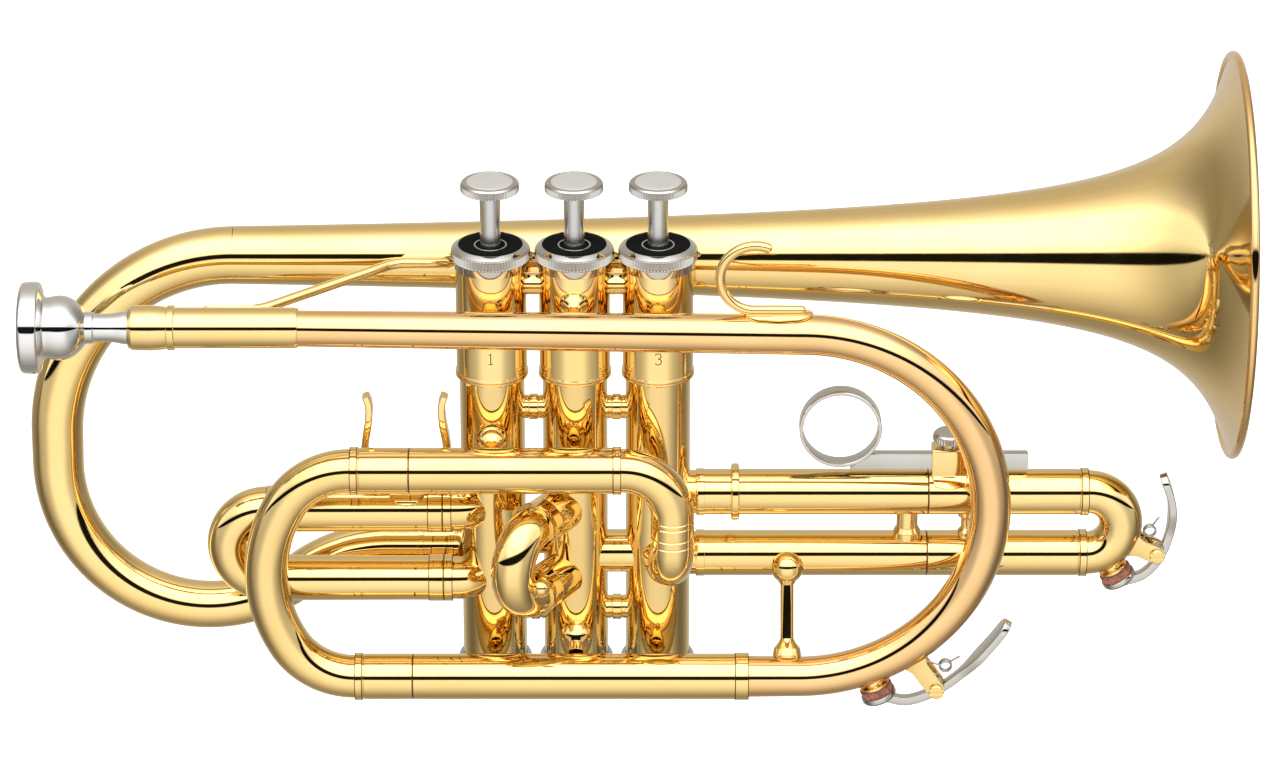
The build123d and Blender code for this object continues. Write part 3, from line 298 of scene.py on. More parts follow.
# ---- mesh building ----------------------------------------------------------------------------
class Shape:
    """Vertices and faces gathered from several parts of one piece."""

    def __init__(self):
        self.vertices = []
        self.faces = []

    def rings(self, rings, closed_along=False, cap_start=False, cap_end=False):
        """Skin a list of rings of points; each ring has the same number of points."""
        first = len(self.vertices)
        count = len(rings[0])
        for ring in rings:
            self.vertices.extend(ring)
        last = len(rings) if closed_along else len(rings) - 1
        for i in range(last):
            a = first + i * count
            b = first + ((i + 1) % len(rings)) * count
            for j in range(count):
                k = (j + 1) % count
                self.faces.append((a + j, a + k, b + k, b + j))
        if cap_start:
            self.faces.append(tuple(reversed(range(first, first + count))))
        if cap_end:
            start = first + (len(rings) - 1) * count
            self.faces.append(tuple(range(start, start + count)))

    def finish(self, name, material, body, stands_for=(), sharp=32):
        """Make the smooth-shaded Blender piece, riding on a body; edges over sharp degrees stay crisp."""
        mesh = bpy.data.meshes.new(name)
        mesh.from_pydata([(x * MM, y * MM, z * MM) for x, y, z in self.vertices], [], self.faces)
        mesh.validate()
        mesh.shade_smooth()
        mesh.materials.append(material)
        piece = bpy.data.objects.new(name, mesh)
        bpy.context.scene.collection.objects.link(piece)
        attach(piece, body)
        if stands_for:
            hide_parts(*stands_for)
        outward(mesh)
        mesh.set_sharp_from_angle(angle=radians(sharp))
        return piece

    def polished(self, node, material, body="horn", sharp=32):
        """Make the polished piece that stands for one CAD node and is named after it."""
        return self.finish(f"{node}_polished", material, body, [node], sharp)


def outward(mesh):
    """Make every connected part of a mesh face outwards."""
    work = bmesh.new()
    work.from_mesh(mesh)
    bmesh.ops.remove_doubles(work, verts=work.verts, dist=1e-7)
    bmesh.ops.recalc_face_normals(work, faces=work.faces)
    work.to_mesh(mesh)
    work.free()


def vec(point):
    return np.array(point, float)


def unit(v):
    return v / np.linalg.norm(v)


def axes_for(direction):
    """Two unit vectors square to a direction."""
    d = unit(vec(direction))
    side = np.array([0.0, 0.0, 1.0]) if abs(d[2]) < 0.9 else np.array([1.0, 0.0, 0.0])
    u = unit(np.cross(side, d))
    return u, np.cross(d, u)


def rounded(profile, radius, closed=False, steps=3):
    """Round the corners of an outline of (along, radius) points with small arcs."""
    points = [vec(p) for p in profile]
    out = []
    count = len(points)
    for i, p in enumerate(points):
        if not closed and i in (0, count - 1):
            out.append(p)
            continue
        a = points[i - 1]
        b = points[(i + 1) % count]
        la = np.linalg.norm(a - p)
        lb = np.linalg.norm(b - p)
        if la < 1e-6 or lb < 1e-6:
            continue
        ua = (a - p) / la
        ub = (b - p) / lb
        corner = acos(max(-1.0, min(1.0, float(ua @ ub))))
        if corner > radians(168):
            out.append(p)
            continue
        cut = min(radius / max(tan(corner / 2), 1e-3), 0.42 * la, 0.42 * lb)
        start = p + ua * cut
        end = p + ub * cut
        for k in range(steps + 1):
            t = k / steps
            out.append((1 - t) ** 2 * start + 2 * t * (1 - t) * p + t * t * end)
    return [tuple(p) for p in out]


def lathe(shape, profile, origin, direction, closed=True, bevel=0.12, count=ROUND, ripple=None):
    """Turn an outline of (along, radius) points about an axis; ripple(along, angle) scales the radius."""
    d = unit(vec(direction))
    u, v = axes_for(d)
    o = vec(origin)
    outline = rounded(profile, bevel, closed) if bevel else profile
    rings = []
    for along, r in outline:
        ring = []
        for j in range(count):
            a = 2 * pi * j / count
            size = max(r, 0.0) * (ripple(along, a) if ripple else 1.0)
            ring.append(tuple(o + d * along + (u * cos(a) + v * sin(a)) * size))
        rings.append(ring)
    shape.rings(rings, closed_along=closed)


def along_path(points):
    """Directions and side vectors carried along a path without twisting."""
    p = [vec(q) for q in points]
    tangents = []
    for i in range(len(p)):
        a = p[max(i - 1, 0)]
        b = p[min(i + 1, len(p) - 1)]
        tangents.append(unit(b - a))
    u, _ = axes_for(tangents[0])
    sides = []
    for t in tangents:
        u = unit(u - t * float(u @ t))
        sides.append((u, np.cross(t, u)))
    return p, tangents, sides


def path_length(points):
    """Running length at each point of a path."""
    p = vec(points)
    steps = np.linalg.norm(np.diff(p, axis=0), axis=1)
    return np.concatenate([[0.0], np.cumsum(steps)])


def sweep(shape, points, outer, inner=None, count=ROUND):
    """A round tube or bar along a path. outer and inner are radii, or functions of the share of length."""
    p, _, sides = along_path(points)
    run = path_length(points)
    share = run / run[-1]

    def ring(i, size, scale=1.0):
        r = (size(share[i]) if callable(size) else size) * scale
        u, v = sides[i]
        angles = [2 * pi * j / count for j in range(count)]
        return [tuple(p[i] + (u * cos(a) + v * sin(a)) * r) for a in angles]

    skin = [ring(i, outer) for i in range(len(p))]
    if inner is None:
        shape.rings(skin, cap_start=True, cap_end=True)
        return
    skin += [ring(i, inner) for i in reversed(range(len(p)))]
    shape.rings(skin, closed_along=True)


def taper(share, radii, wall=0.0):
    """A radius that runs through the given values along a path, less a wall."""
    return lambda s: float(np.interp(s, share, radii)) - wall


def bar(shape, points, width_axis, half_width, half_thick, corner=0.35):
    """A flat strip along a path with rounded edges; half_width and half_thick may depend on length."""
    p, tangents, _ = along_path(points)
    run = path_length(points)
    w_dir = unit(vec(width_axis))
    rings = []
    for i, point in enumerate(p):
        s = run[i] / run[-1]
        w = half_width(s) if callable(half_width) else half_width
        t = half_thick(s) if callable(half_thick) else half_thick
        n = unit(np.cross(tangents[i], w_dir))
        c = min(corner, 0.8 * w, 0.8 * t)
        ring = []
        for quarter, (sw, st) in enumerate(((1, 1), (-1, 1), (-1, -1), (1, -1))):
            for k in range(4):
                a = pi / 2 * (quarter + k / 3)
                x = sw * (w - c) + c * cos(a)
                z = st * (t - c) + c * sin(a)
                ring.append(tuple(point + w_dir * x + n * z))
        rings.append(ring)
    shape.rings(rings, cap_start=True, cap_end=True)


def fillet_path(corners, radii, step=ARC_STEP):
    """Straight runs joined by tangent arcs, as a dense list of points."""
    pts = [vec(c) for c in corners]
    if not isinstance(radii, (list, tuple)):
        radii = [radii] * (len(pts) - 2)
    out = [pts[0]]
    for i in range(1, len(pts) - 1):
        ua = unit(pts[i - 1] - pts[i])
        ub = unit(pts[i + 1] - pts[i])
        between = acos(max(-1.0, min(1.0, float(ua @ ub))))
        turn = pi - between
        cut = radii[i - 1] * tan(turn / 2)
        middle = unit(ua + ub)
        centre = pts[i] + middle * (radii[i - 1] / cos(turn / 2))
        start = pts[i] + ua * cut
        x = unit(start - centre)
        y = -ua
        steps = max(2, int(ceil(turn / step)))
        for k in range(steps + 1):
            a = turn * k / steps
            out.append(centre + (x * cos(a) + y * sin(a)) * radii[i - 1])
    out.append(pts[-1])
    return out


def arc_path(centre, start, towards, turn, step=ARC_STEP):
    """An arc from a start point about a centre, first heading along towards."""
    c = vec(centre)
    x = vec(start) - c
    y = unit(vec(towards)) * np.linalg.norm(x)
    steps = max(2, int(ceil(turn / step)))
    return [c + x * cos(turn * k / steps) + y * sin(turn * k / steps) for k in range(steps + 1)]


def smooth_path(points, count=60):
    """A Catmull-Rom curve through a few points."""
    p = [vec(q) for q in points]
    p = [2 * p[0] - p[1]] + p + [2 * p[-1] - p[-2]]
    out = []
    spans = len(p) - 3
    per = max(2, count // spans)
    for i in range(spans):
        a, b, c, d = p[i : i + 4]
        for k in range(per):
            t = k / per
            bend = (2 * a - 5 * b + 4 * c - d) * t * t + (3 * b - a - 3 * c + d) * t**3
            out.append(0.5 * (2 * b + (c - a) * t + bend))
    out.append(p[-2])
    return out


def along_x(y, z):
    """Origin and direction of a lathe axis that runs along X."""
    return (0.0, y, z), (1, 0, 0)


def along_z(x):
    """Origin and direction of a lathe axis that runs up a valve."""
    return (x, 0, 0), (0, 0, 1)


def ring_profile(x_a, x_b, r_out, r_in):
    """The outline of a plain ring between two places on an axis."""
    return [(x_a, r_in), (x_a, r_out), (x_b, r_out), (x_b, r_in)]


def groove(x, radius, way=1.0):
    """A fine turned line round a tube, in the direction in which the outline runs."""
    deep = radius - 0.2
    return [(x - way * 0.16, radius), (x - way * 0.1, deep), (x + way * 0.1, deep), (x + way * 0.16, radius)]


def around(index, angle, distance, z, from_axis=False):
    """A point at a distance from a valve axis, in degrees from +X; from_axis gives only the way to it."""
    a = radians(angle)
    if from_axis:
        return (distance * cos(a), distance * sin(a), z)
    return (VALVE_X[index] + distance * cos(a), distance * sin(a), z)


def tilted(x, down):
    """A point of the leaning plane of the rear bow, by its distance below the bell axis."""
    lean = radians(BOW_TILT)
    return (x, BELL_Y - down * sin(lean), BELL_Z - down * cos(lean))


def bell_radius(x):
    """Outside radius of the bell at a place along its axis."""
    return 204.0 * (200.0 - x) ** -0.58 + 1.0 + 0.0016 * (x - BELL_START_X)


# ---- fitting pieces to one another -------------------------------------------------------------
def clear_of_casing(shape, first, index, direction, radius=CASING_R - EMBED):
    """Push the end of a tube out of a casing's bore, so that it ends inside the casing's wall."""
    dx, dy = unit(np.array(direction[:2], float))
    for i in range(first, len(shape.vertices)):
        x, y, z = shape.vertices[i]
        rx = x - VALVE_X[index]
        gap = rx * rx + y * y - radius * radius
        if gap >= 0:
            continue
        half = rx * dx + y * dy
        t = -half + sqrt(max(0.0, half * half - gap))
        shape.vertices[i] = (x + dx * t, y + dy * t, z)


def hug(shape, first, foot, direction, along, radius, fade):
    """Bend the foot of a post so that it follows the round of the tube it stands on."""
    d = unit(vec(direction))
    axis = unit(vec(along))
    base = vec(foot)
    flat = d - axis * float(d @ axis)
    centre = base - unit(flat) * radius
    for i in range(first, len(shape.vertices)):
        v = np.array(shape.vertices[i])
        rise = float((v - base) @ d)
        if abs(rise) > fade:
            continue
        arm = v - centre
        arm = arm - axis * float(arm @ axis)
        half = float(arm @ flat)
        square = float(flat @ flat)
        inside = half * half - square * (float(arm @ arm) - (radius + rise) ** 2)
        move = (sqrt(max(0.0, inside)) - half) / square
        v = v + d * move * (1 - max(0.0, rise) / fade)
        shape.vertices[i] = tuple(v)


def curved_plate(shape, x, y, z, radius, middle, half_angle, half_length, thick=0.9, square=False):
    """A plate on a tube along X, oval or square; middle is the direction in degrees from +Y to +Z."""
    power = 0.12 if square else 0.35
    path = []
    for k in range(21):
        a = radians(middle + half_angle * (2 * k / 20 - 1))
        r = radius + thick / 2 - 0.05
        path.append((x, y + r * cos(a), z + r * sin(a)))
    bar(
        shape,
        path,
        (1, 0, 0),
        lambda s: 0.5 + (half_length - 0.5) * max(0.0, 1 - (2 * s - 1) ** 2) ** power,
        thick / 2,
        0.3,
    )


def post(shape, start, end, stem, foot_r, foot_along, foot_round, end_along, end_round):
    """A turned post with a wide domed foot at its start."""
    a = vec(start)
    b = vec(end)
    length = float(np.linalg.norm(b - a))
    way = (b - a) / length
    profile = [
        (-0.4, 0.0), (-0.4, foot_r), (0.6, foot_r), (1.4, foot_r * 0.88), (2.4, stem * 1.45),
        (3.2, stem * 1.09), (length + 0.3, stem * 1.05), (length + 0.3, 0.0),
    ]
    first = len(shape.vertices)
    lathe(shape, profile, a, way, closed=False, bevel=0.2, count=48)
    hug(shape, first, a, way, foot_along, foot_round, 1.6)
    hug(shape, first, b, -way, end_along, end_round, 1.6)


def reach_back(shape, first, mid, left, radius):
    """Stretch the ends of a spacer so that they follow the round of both casings."""
    for i in range(first, len(shape.vertices)):
        x, y, z = shape.vertices[i]
        sink = radius - sqrt(radius * radius - y * y)
        from_wall = min(abs(x - VALVE_X[left]), abs(VALVE_X[left + 1] - x)) - radius
        if from_wall < 1.5:
            shape.vertices[i] = (x - sink if x < mid else x + sink, y, z)


# ---- bell, rear bow and tail --------------------------------------------------------------------
def bell():
    """The flare and its rolled rim."""
    mouth = BELL_RIM_X - 0.65
    steps = 110
    outer = []
    inner = []
    for i in range(steps + 1):
        x = mouth - (mouth - BELL_START_X) * (1 - i / steps) ** 2.2
        slope = atan2(bell_radius(x + 0.01) - bell_radius(x - 0.01), 0.02)
        outer.append((x, bell_radius(x)))
        inner.append((x + BELL_WALL * sin(slope), bell_radius(x) - BELL_WALL * cos(slope)))
    inner[0] = (BELL_START_X, bell_radius(BELL_START_X) - BELL_WALL)
    shape = Shape()
    lathe(shape, outer + inner[::-1], *along_x(BELL_Y, BELL_Z), bevel=0, count=176)
    shape.polished("bell_flare", BRASS, sharp=50)
    bead = []
    for k in range(28):
        a = 2 * pi * k / 28
        rise = BELL_RIM_R - RIM_WIRE_R + RIM_WIRE_R * sin(a)
        bead.append((BELL_RIM_X + RIM_WIRE_R * cos(a), rise))
    rim = Shape()
    lathe(rim, bead, *along_x(BELL_Y, BELL_Z), bevel=0, count=176)
    rim.finish("bell_rim_bead", RIM, "horn", ["bell_rim_wire"], 60)


def tail_points():
    """The centre line of the rear bow and tail, with the radius at each point."""
    left = BELL_START_X - BOW_HIGH_R
    low_down = BOW_HIGH_R + BOW_DROP
    low_x = left + BOW_LOW_R
    turn = radians(BOW_RISE)
    back_r = BOW_LOW_R - 1.2
    rise_x = low_x + BOW_LOW_R * sin(turn)
    rise_down = low_down + BOW_LOW_R * cos(turn)
    tail_down = rise_down - back_r * (1 - cos(turn))
    level_x = rise_x + back_r * sin(turn)
    points = []
    radii = []
    parts = 40
    start_r = bell_radius(BELL_START_X)
    for i in range(parts + 1):
        a = pi / 2 * i / parts
        points.append(tilted(BELL_START_X - BOW_HIGH_R * sin(a), BOW_HIGH_R * (1 - cos(a))))
        radii.append(start_r + (7.6 - start_r) * i / parts)
    points.append(tilted(left, low_down))
    radii.append(7.5)
    wide = pi / 2 + turn
    for i in range(1, parts + 1):
        a = wide * i / parts
        points.append(tilted(low_x - BOW_LOW_R * cos(a), low_down + BOW_LOW_R * sin(a)))
        radii.append(7.5 + (6.75 - 7.5) * i / parts)
    for i in range(1, parts // 2 + 1):
        a = turn * (1 - i / (parts // 2))
        points.append(tilted(level_x - back_r * sin(a), tail_down + back_r * (1 - cos(a))))
        radii.append(6.75 + (TAIL_R - 6.75) * i / (parts // 2))
    level = tilted(level_x, tail_down)
    port = (VALVE_X[0] - 6.5, level[1] * 6.5 / (VALVE_X[0] - TAIL_X), level[2])
    knee = fillet_path([level, (TAIL_X, level[1], level[2]), port], KNUCKLE_R)[1:]
    points += [tuple(q) for q in knee]
    radii += [TAIL_R] * len(knee)
    return points, radii, level


def rear_bow():
    """The tapering bow behind the bell, down to the first valve."""
    points, radii, _ = tail_points()
    share = path_length(points)
    share = share / share[-1]
    shape = Shape()
    sweep(shape, points, taper(share, radii), taper(share, radii, BELL_WALL), 112)
    clear_of_casing(shape, 0, 0, (points[-2][0] - points[-1][0], points[-2][1] - points[-1][1]))
    shape.finish("rear_bow_polished", BRASS, "horn", ["bell_stem"])


# ---- leadpipe and crook --------------------------------------------------------------------------
def receiver():
    """The mouthpiece receiver with its ring and sleeve."""
    profile = [
        (-126.6, 4.85), (-126.6, 5.7), (-125.4, 6.35), (-120.0, 6.5), (-116.6, 6.2),
        (-115.4, 5.9), (-115.4, 6.45), (-113.4, 6.45), (-113.4, 5.85), (-79.2, 5.85),
        (-78.4, 5.65), (-78.4, 5.45), (-96.0, 5.45), (-96.0, 4.52),
    ]
    shape = Shape()
    lathe(shape, profile, *along_x(LEAD_Y, RECEIVER_Z), bevel=0.3)
    shape.polished("mouthpiece_receiver", BRASS)


def leadpipe():
    """The leadpipe and the D-shaped front crook, one tapering tube."""
    slope = atan2(RECEIVER_Z - LEAD_END_Z, CROOK_START_X - LEAD_START)
    end_x = CROOK_START_X - (LEAD_END_Z - CROOK_LOW_Z) * tan(slope / 2)
    bend = vec((CROOK_START_X, LEAD_Y, LEAD_END_Z))
    end = vec((end_x, LEAD_Y, CROOK_LOW_Z))
    heading = vec((cos(slope), 0, -sin(slope)))
    down = vec((-sin(slope), 0, -cos(slope)))
    chord = end - bend
    r = float(chord @ chord) / (2 * float(chord @ down))
    centre = bend + down * r
    turn = pi - slope
    points = [vec((LEAD_START, LEAD_Y, RECEIVER_Z))]
    points += arc_path(centre, bend, heading, turn)
    points.append(vec((46.8, LEAD_Y, CROOK_LOW_Z)))
    run = path_length(points)
    share = run / run[-1]
    marks = [0, share[1], share[-2], 1]
    sizes = [LEAD_START_R, CROOK_R, CROOK_R, LEAD_END_R]
    pipe = Shape()
    sweep(pipe, points, taper(marks, sizes), taper(marks, sizes, LEAD_WALL), 112)
    pipe.finish("leadpipe_and_crook_polished", ROSE, "horn", ["leadpipe"])


# ---- tuning slide --------------------------------------------------------------------------------
def sliding_leg(shape, seat, tip, end, y, z, ferrule_r=FERRULE_R):
    """A moving leg: inner tube, outer sleeve up to the seat, and a ferrule at the bow."""
    way = 1.0 if seat > end else -1.0
    face = seat - way * SEAT_GAP
    profile = [
        (end, BORE_R), (end, ferrule_r),
        (end + way * FERRULE_LENGTH, ferrule_r), (end + way * FERRULE_LENGTH, OUTER_R),
        *groove(end + way * 2.6, OUTER_R, way),
        (face - way * 0.25, OUTER_R), (face, OUTER_R - 0.22), (face, INNER_R), (tip, INNER_R),
        (tip, BORE_R),
    ]
    lathe(shape, profile, *along_x(y, z), bevel=0.14)


def tuning_slide():
    """Fixed tubes, moving legs and the bow of the main tuning slide."""
    fixed = Shape()
    for z, x in ((TUNING_HIGH_Z, ELBOW_START_X), (TUNING_LOW_Z, SOCKET_X)):
        lathe(fixed, ring_profile(TUNING_PART_X, x, OUTER_R, OUTER_BORE_R), *along_x(LEAD_Y, z))
    fixed.finish("tuning_tubes_polished", BRASS, "horn", ["tuning_outer_tubes"])
    legs = Shape()
    for z in (TUNING_HIGH_Z, TUNING_LOW_Z):
        sliding_leg(legs, TUNING_PART_X, 2.0, TUNING_BOW_X, LEAD_Y, z)
    legs.finish("tuning_legs_polished", BRASS, "tuning_slide", ["tuning_slide_legs"])

    half = (TUNING_HIGH_Z - TUNING_LOW_Z) / 2
    mid_z = (TUNING_HIGH_Z + TUNING_LOW_Z) / 2
    corner_r = 22.0
    corner = radians(60)
    wide_r = (half - corner_r * (1 - cos(corner))) / cos(corner)
    joint_x = TUNING_BOW_X - corner_r * sin(corner)
    top = (TUNING_BOW_X, LEAD_Y, TUNING_HIGH_Z)
    points = arc_path((TUNING_BOW_X, LEAD_Y, TUNING_HIGH_Z - corner_r), top, (-1, 0, 0), corner)
    joint = points[-1]
    wide_centre = (joint_x + wide_r * sin(corner), LEAD_Y, mid_z)
    heading = (-cos(corner), 0, -sin(corner))
    points += arc_path(wide_centre, joint, heading, pi - 2 * corner)[1:]
    heading = (cos(corner), 0, -sin(corner))
    points += arc_path((TUNING_BOW_X, LEAD_Y, TUNING_LOW_Z + corner_r), points[-1], heading, corner)[1:]
    bow = Shape()
    sweep(bow, points, BOW_R, BOW_R - BOW_WALL)
    bow.finish("tuning_bow_polished", BRASS, "tuning_slide", ["tuning_slide_bow"])


def elbow_points():
    """The centre line of the elbow into the third valve."""
    turn_x = VALVE_X[2] + 4.2
    corners = [
        (ELBOW_START_X + 0.1, LEAD_Y, TUNING_HIGH_Z), (turn_x, LEAD_Y, TUNING_HIGH_Z),
        (turn_x, LEAD_Y, ELBOW_LOW_Z), (VALVE_X[2] + 4.2 * 0.2, LEAD_Y * 0.2, ELBOW_LOW_Z),
    ]
    return fillet_path(corners, [14.5, 8.6])


def elbow():
    """The elbow, with four turned lines round its straight drop."""
    points = elbow_points()
    drop_top = TUNING_HIGH_Z - 14.5
    drop_low = ELBOW_LOW_Z + 8.6
    turn_x = VALVE_X[2] + 4.2
    lines = [-10.75, -12.4, -16.2, -18.6]
    dense = []
    for p in points:
        dense.append(p)
        if abs(p[2] - drop_top) < 1e-6 and abs(p[0] - turn_x) < 1e-6:
            for z in lines:
                for dz in (0.35, 0.12, -0.12, -0.35):
                    if drop_low < z + dz < drop_top:
                        dense.append(vec((turn_x, LEAD_Y, z + dz)))
    run = path_length(dense)
    share = run / run[-1]
    deep = {round(z + d, 2) for z in lines for d in (0.12, -0.12)}

    def size(s):
        i = int(np.argmin(np.abs(share - s)))
        on_line = round(float(dense[i][2]), 2) in deep and abs(dense[i][0] - turn_x) < 1e-6
        return BOW_R - (0.22 if on_line else 0.0)

    shape = Shape()
    sweep(shape, dense, size, BORE_R)
    clear_of_casing(shape, 0, 2, (4.2, LEAD_Y))
    shape.polished("valve_elbow", BRASS)


# ---- valve slides ----------------------------------------------------------------------------------
def half_turn(start_a, start_b, outwards):
    """A half-turn bow from one leg end to the other."""
    a = vec(start_a)
    b = vec(start_b)
    return arc_path((a + b) / 2, a, outwards, pi)


def first_slide():
    """Fixed legs with their knuckles, and the sleeves and bow that slide on them."""
    fixed = Shape()
    for z in FIRST_Z:
        corner_x = VALVE_X[0] - abs(FIRST_Y) / tan(radians(FIRST_PORT - 180))
        inside = around(0, FIRST_PORT, 4.0, z)
        path = fillet_path([(FIRST_PART_X + 0.2, FIRST_Y, z), (corner_x, FIRST_Y, z), inside], KNUCKLE_R)
        first = len(fixed.vertices)
        sweep(fixed, path, BOW_R, BORE_R)
        clear_of_casing(fixed, first, 0, around(0, FIRST_PORT, 1.0, 0.0, from_axis=True))
        lathe(fixed, ring_profile(-84.0, FIRST_PART_X + 0.2, INNER_R, BORE_R), *along_x(FIRST_Y, z))
        lathe(fixed, ring_profile(FIRST_PART_X, -36.0, BAND_R, INNER_R), *along_x(FIRST_Y, z), bevel=0.2)
    fixed.finish("first_slide_legs_polished", BRASS, "horn", ["first_slide_inner_tubes"])

    seat = FIRST_PART_X - SEAT_GAP
    sleeves = Shape()
    for z in FIRST_Z:
        profile = [
            (FIRST_BOW_X, OUTER_BORE_R), (FIRST_BOW_X, BAND_R), (FIRST_BOW_X + FERRULE_LENGTH, BAND_R),
            (FIRST_BOW_X + FERRULE_LENGTH, OUTER_R), (-43.2, OUTER_R - 0.15), (-43.0, OUTER_R - 0.15),
            (-43.0, BAND_R), (seat - 0.25, BAND_R), (seat, BAND_R - 0.22), (seat, OUTER_BORE_R),
        ]
        lathe(sleeves, profile, *along_x(FIRST_Y, z))
    sleeves.polished("first_slide_sleeves", BRASS, "first_slide")

    bow = Shape()
    ends = [(FIRST_BOW_X, FIRST_Y, z) for z in FIRST_Z]
    sweep(bow, half_turn(ends[0], ends[1], (-1, 0, 0)), BOW_R + 0.3, BORE_R)
    bow.polished("first_slide_bow", BRASS, "first_slide")


def thumb_saddle():
    """The U-shaped thumb saddle, its neck and its foot on the upper sleeve."""
    half = 12.0
    bottom = FIRST_Z[0] + OUTER_R + 0.9
    corner_z = bottom + half
    left = SADDLE_X - half
    right = SADDLE_X + half
    arm = [(0.6, 0.0), (1.35, -2.0), (1.6, -4.5), (1.2, -9.0), (0.5, -13.0)]
    path = [vec((left + lean, FIRST_Y, SADDLE_TOP_Z + drop)) for lean, drop in arm]
    start = (left, FIRST_Y, corner_z)
    path += arc_path((SADDLE_X, FIRST_Y, corner_z), start, (0, 0, -1), pi, radians(5))
    path += [vec((right - lean, FIRST_Y, SADDLE_TOP_Z + drop)) for lean, drop in arm[::-1]]
    saddle = Shape()
    bar(saddle, path, (0, 1, 0), lambda s: 3.0 - 0.9 * abs(2 * s - 1) ** 6, 1.05, 0.5)

    def oval_foot(s):
        return 0.6 + 5.1 * sqrt(max(0.0, 1 - (2 * s - 1) ** 2))

    foot_bend = []
    for k in range(17):
        a = radians(-58 + 116 * k / 16)
        r = OUTER_R + 0.5
        foot_bend.append((SADDLE_X, FIRST_Y + r * sin(a), FIRST_Z[0] + r * cos(a)))
    bar(saddle, foot_bend, (1, 0, 0), oval_foot, 0.48, 0.3)
    neck = [(-0.2, 0.0), (-0.2, 3.6), (0.6, 3.2), (1.6, 3.0), (1.6, 0.0)]
    lathe(saddle, neck, (SADDLE_X, FIRST_Y, FIRST_Z[0] + OUTER_R), (0, 0, 1), closed=False, count=48)
    saddle.polished("thumb_saddle", BRASS, "first_slide")


def second_slide():
    """The short second slide, which points forward and to the right hand."""
    fixed = Shape()
    legs = Shape()
    direction = around(1, SECOND_PORT, 1.0, 0.0)
    for z in SECOND_Z:
        first = len(fixed.vertices)
        lathe(fixed, ring_profile(4.0, SECOND_PART_T, OUTER_R, OUTER_BORE_R), (0, 0, z), direction)
        clear_of_casing(fixed, first, 1, direction)
        seat = SECOND_PART_T + SEAT_GAP
        profile = [
            (10.3, BORE_R), (10.3, INNER_R), (seat, INNER_R), (seat, OUTER_R),
            (SECOND_BOW_T - FERRULE_LENGTH, OUTER_R), (SECOND_BOW_T - FERRULE_LENGTH, FERRULE_R),
            (SECOND_BOW_T, FERRULE_R), (SECOND_BOW_T, BORE_R),
        ]
        lathe(legs, profile, (0, 0, z), direction)
    fixed.polished("second_slide_tubes", BRASS)
    legs.polished("second_slide_legs", BRASS, "second_slide")


def second_slide_bow():
    """The bow of the second slide, with its pull knob."""
    ends = [around(1, SECOND_PORT, SECOND_BOW_T, z) for z in SECOND_Z]
    path = half_turn(ends[0], ends[1], around(1, SECOND_PORT, 1.0, 0.0))
    bow = Shape()
    sweep(bow, path, BOW_R, BOW_R - BOW_WALL)
    root = np.array(path[int(round(0.74 * (len(path) - 1)))])
    side = radians(SECOND_PORT + 90)
    out = unit(vec((0.9 * cos(side), 0.9 * sin(side), 0.43)))
    knob = [(5.7, 0.0), (5.7, 2.5), (6.3, 2.4), (6.6, 1.5), (7.0, 1.5)]
    for k in range(13):
        a = radians(-50 + 140 * k / 12)
        knob.append((8.8 + 2.6 * sin(a), 2.6 * cos(a)))
    knob[-1] = (11.4, 0.0)
    lathe(bow, knob, root, out, closed=False, bevel=0, count=48)
    bow.polished("second_slide_bow", BRASS, "second_slide")


def third_slide():
    """Fixed tubes, and the legs, bow and brace that slide in them."""
    fixed = Shape()
    for z in THIRD_Z:
        profile = [
            (VALVE_X[2] + 4.0, BORE_R), (VALVE_X[2] + 4.0, BOW_R + 0.1), (35.2, BOW_R + 0.1),
            (35.2, BAND_R), (37.7, BAND_R), (37.7, OUTER_R), (THIRD_PART_X, OUTER_R),
            (THIRD_PART_X, OUTER_BORE_R), (37.7, OUTER_BORE_R), (36.0, BORE_R),
        ]
        first = len(fixed.vertices)
        lathe(fixed, profile, *along_x(0, z), bevel=0.16)
        clear_of_casing(fixed, first, 2, (1, 0))
    fixed.polished("third_slide_tubes", BRASS)
    legs = Shape()
    for z in THIRD_Z:
        sliding_leg(legs, THIRD_PART_X, 52.0, THIRD_BOW_X, 0, z)
    legs.polished("third_slide_legs", BRASS, "third_slide")
    bow = Shape()
    ends = [(THIRD_BOW_X, 0, z) for z in THIRD_Z]
    sweep(bow, half_turn(ends[0], ends[1], (1, 0, 0)), BOW_R, BOW_R - BOW_WALL)
    bow.polished("third_slide_bow", BRASS, "third_slide")
    brace = Shape()
    waist = [(-25.6, 2.6), (-24.2, 2.6), (-23.2, 1.6), (-20.4, 1.6), (-19.3, 2.6), (-17.9, 2.6)]
    outline = [(-25.6, 0)] + waist + [(-17.9, 0)]
    lathe(brace, outline, *along_z(114.5), closed=False, bevel=0.3, count=48)
    brace.polished("third_slide_brace", BRASS, "third_slide")


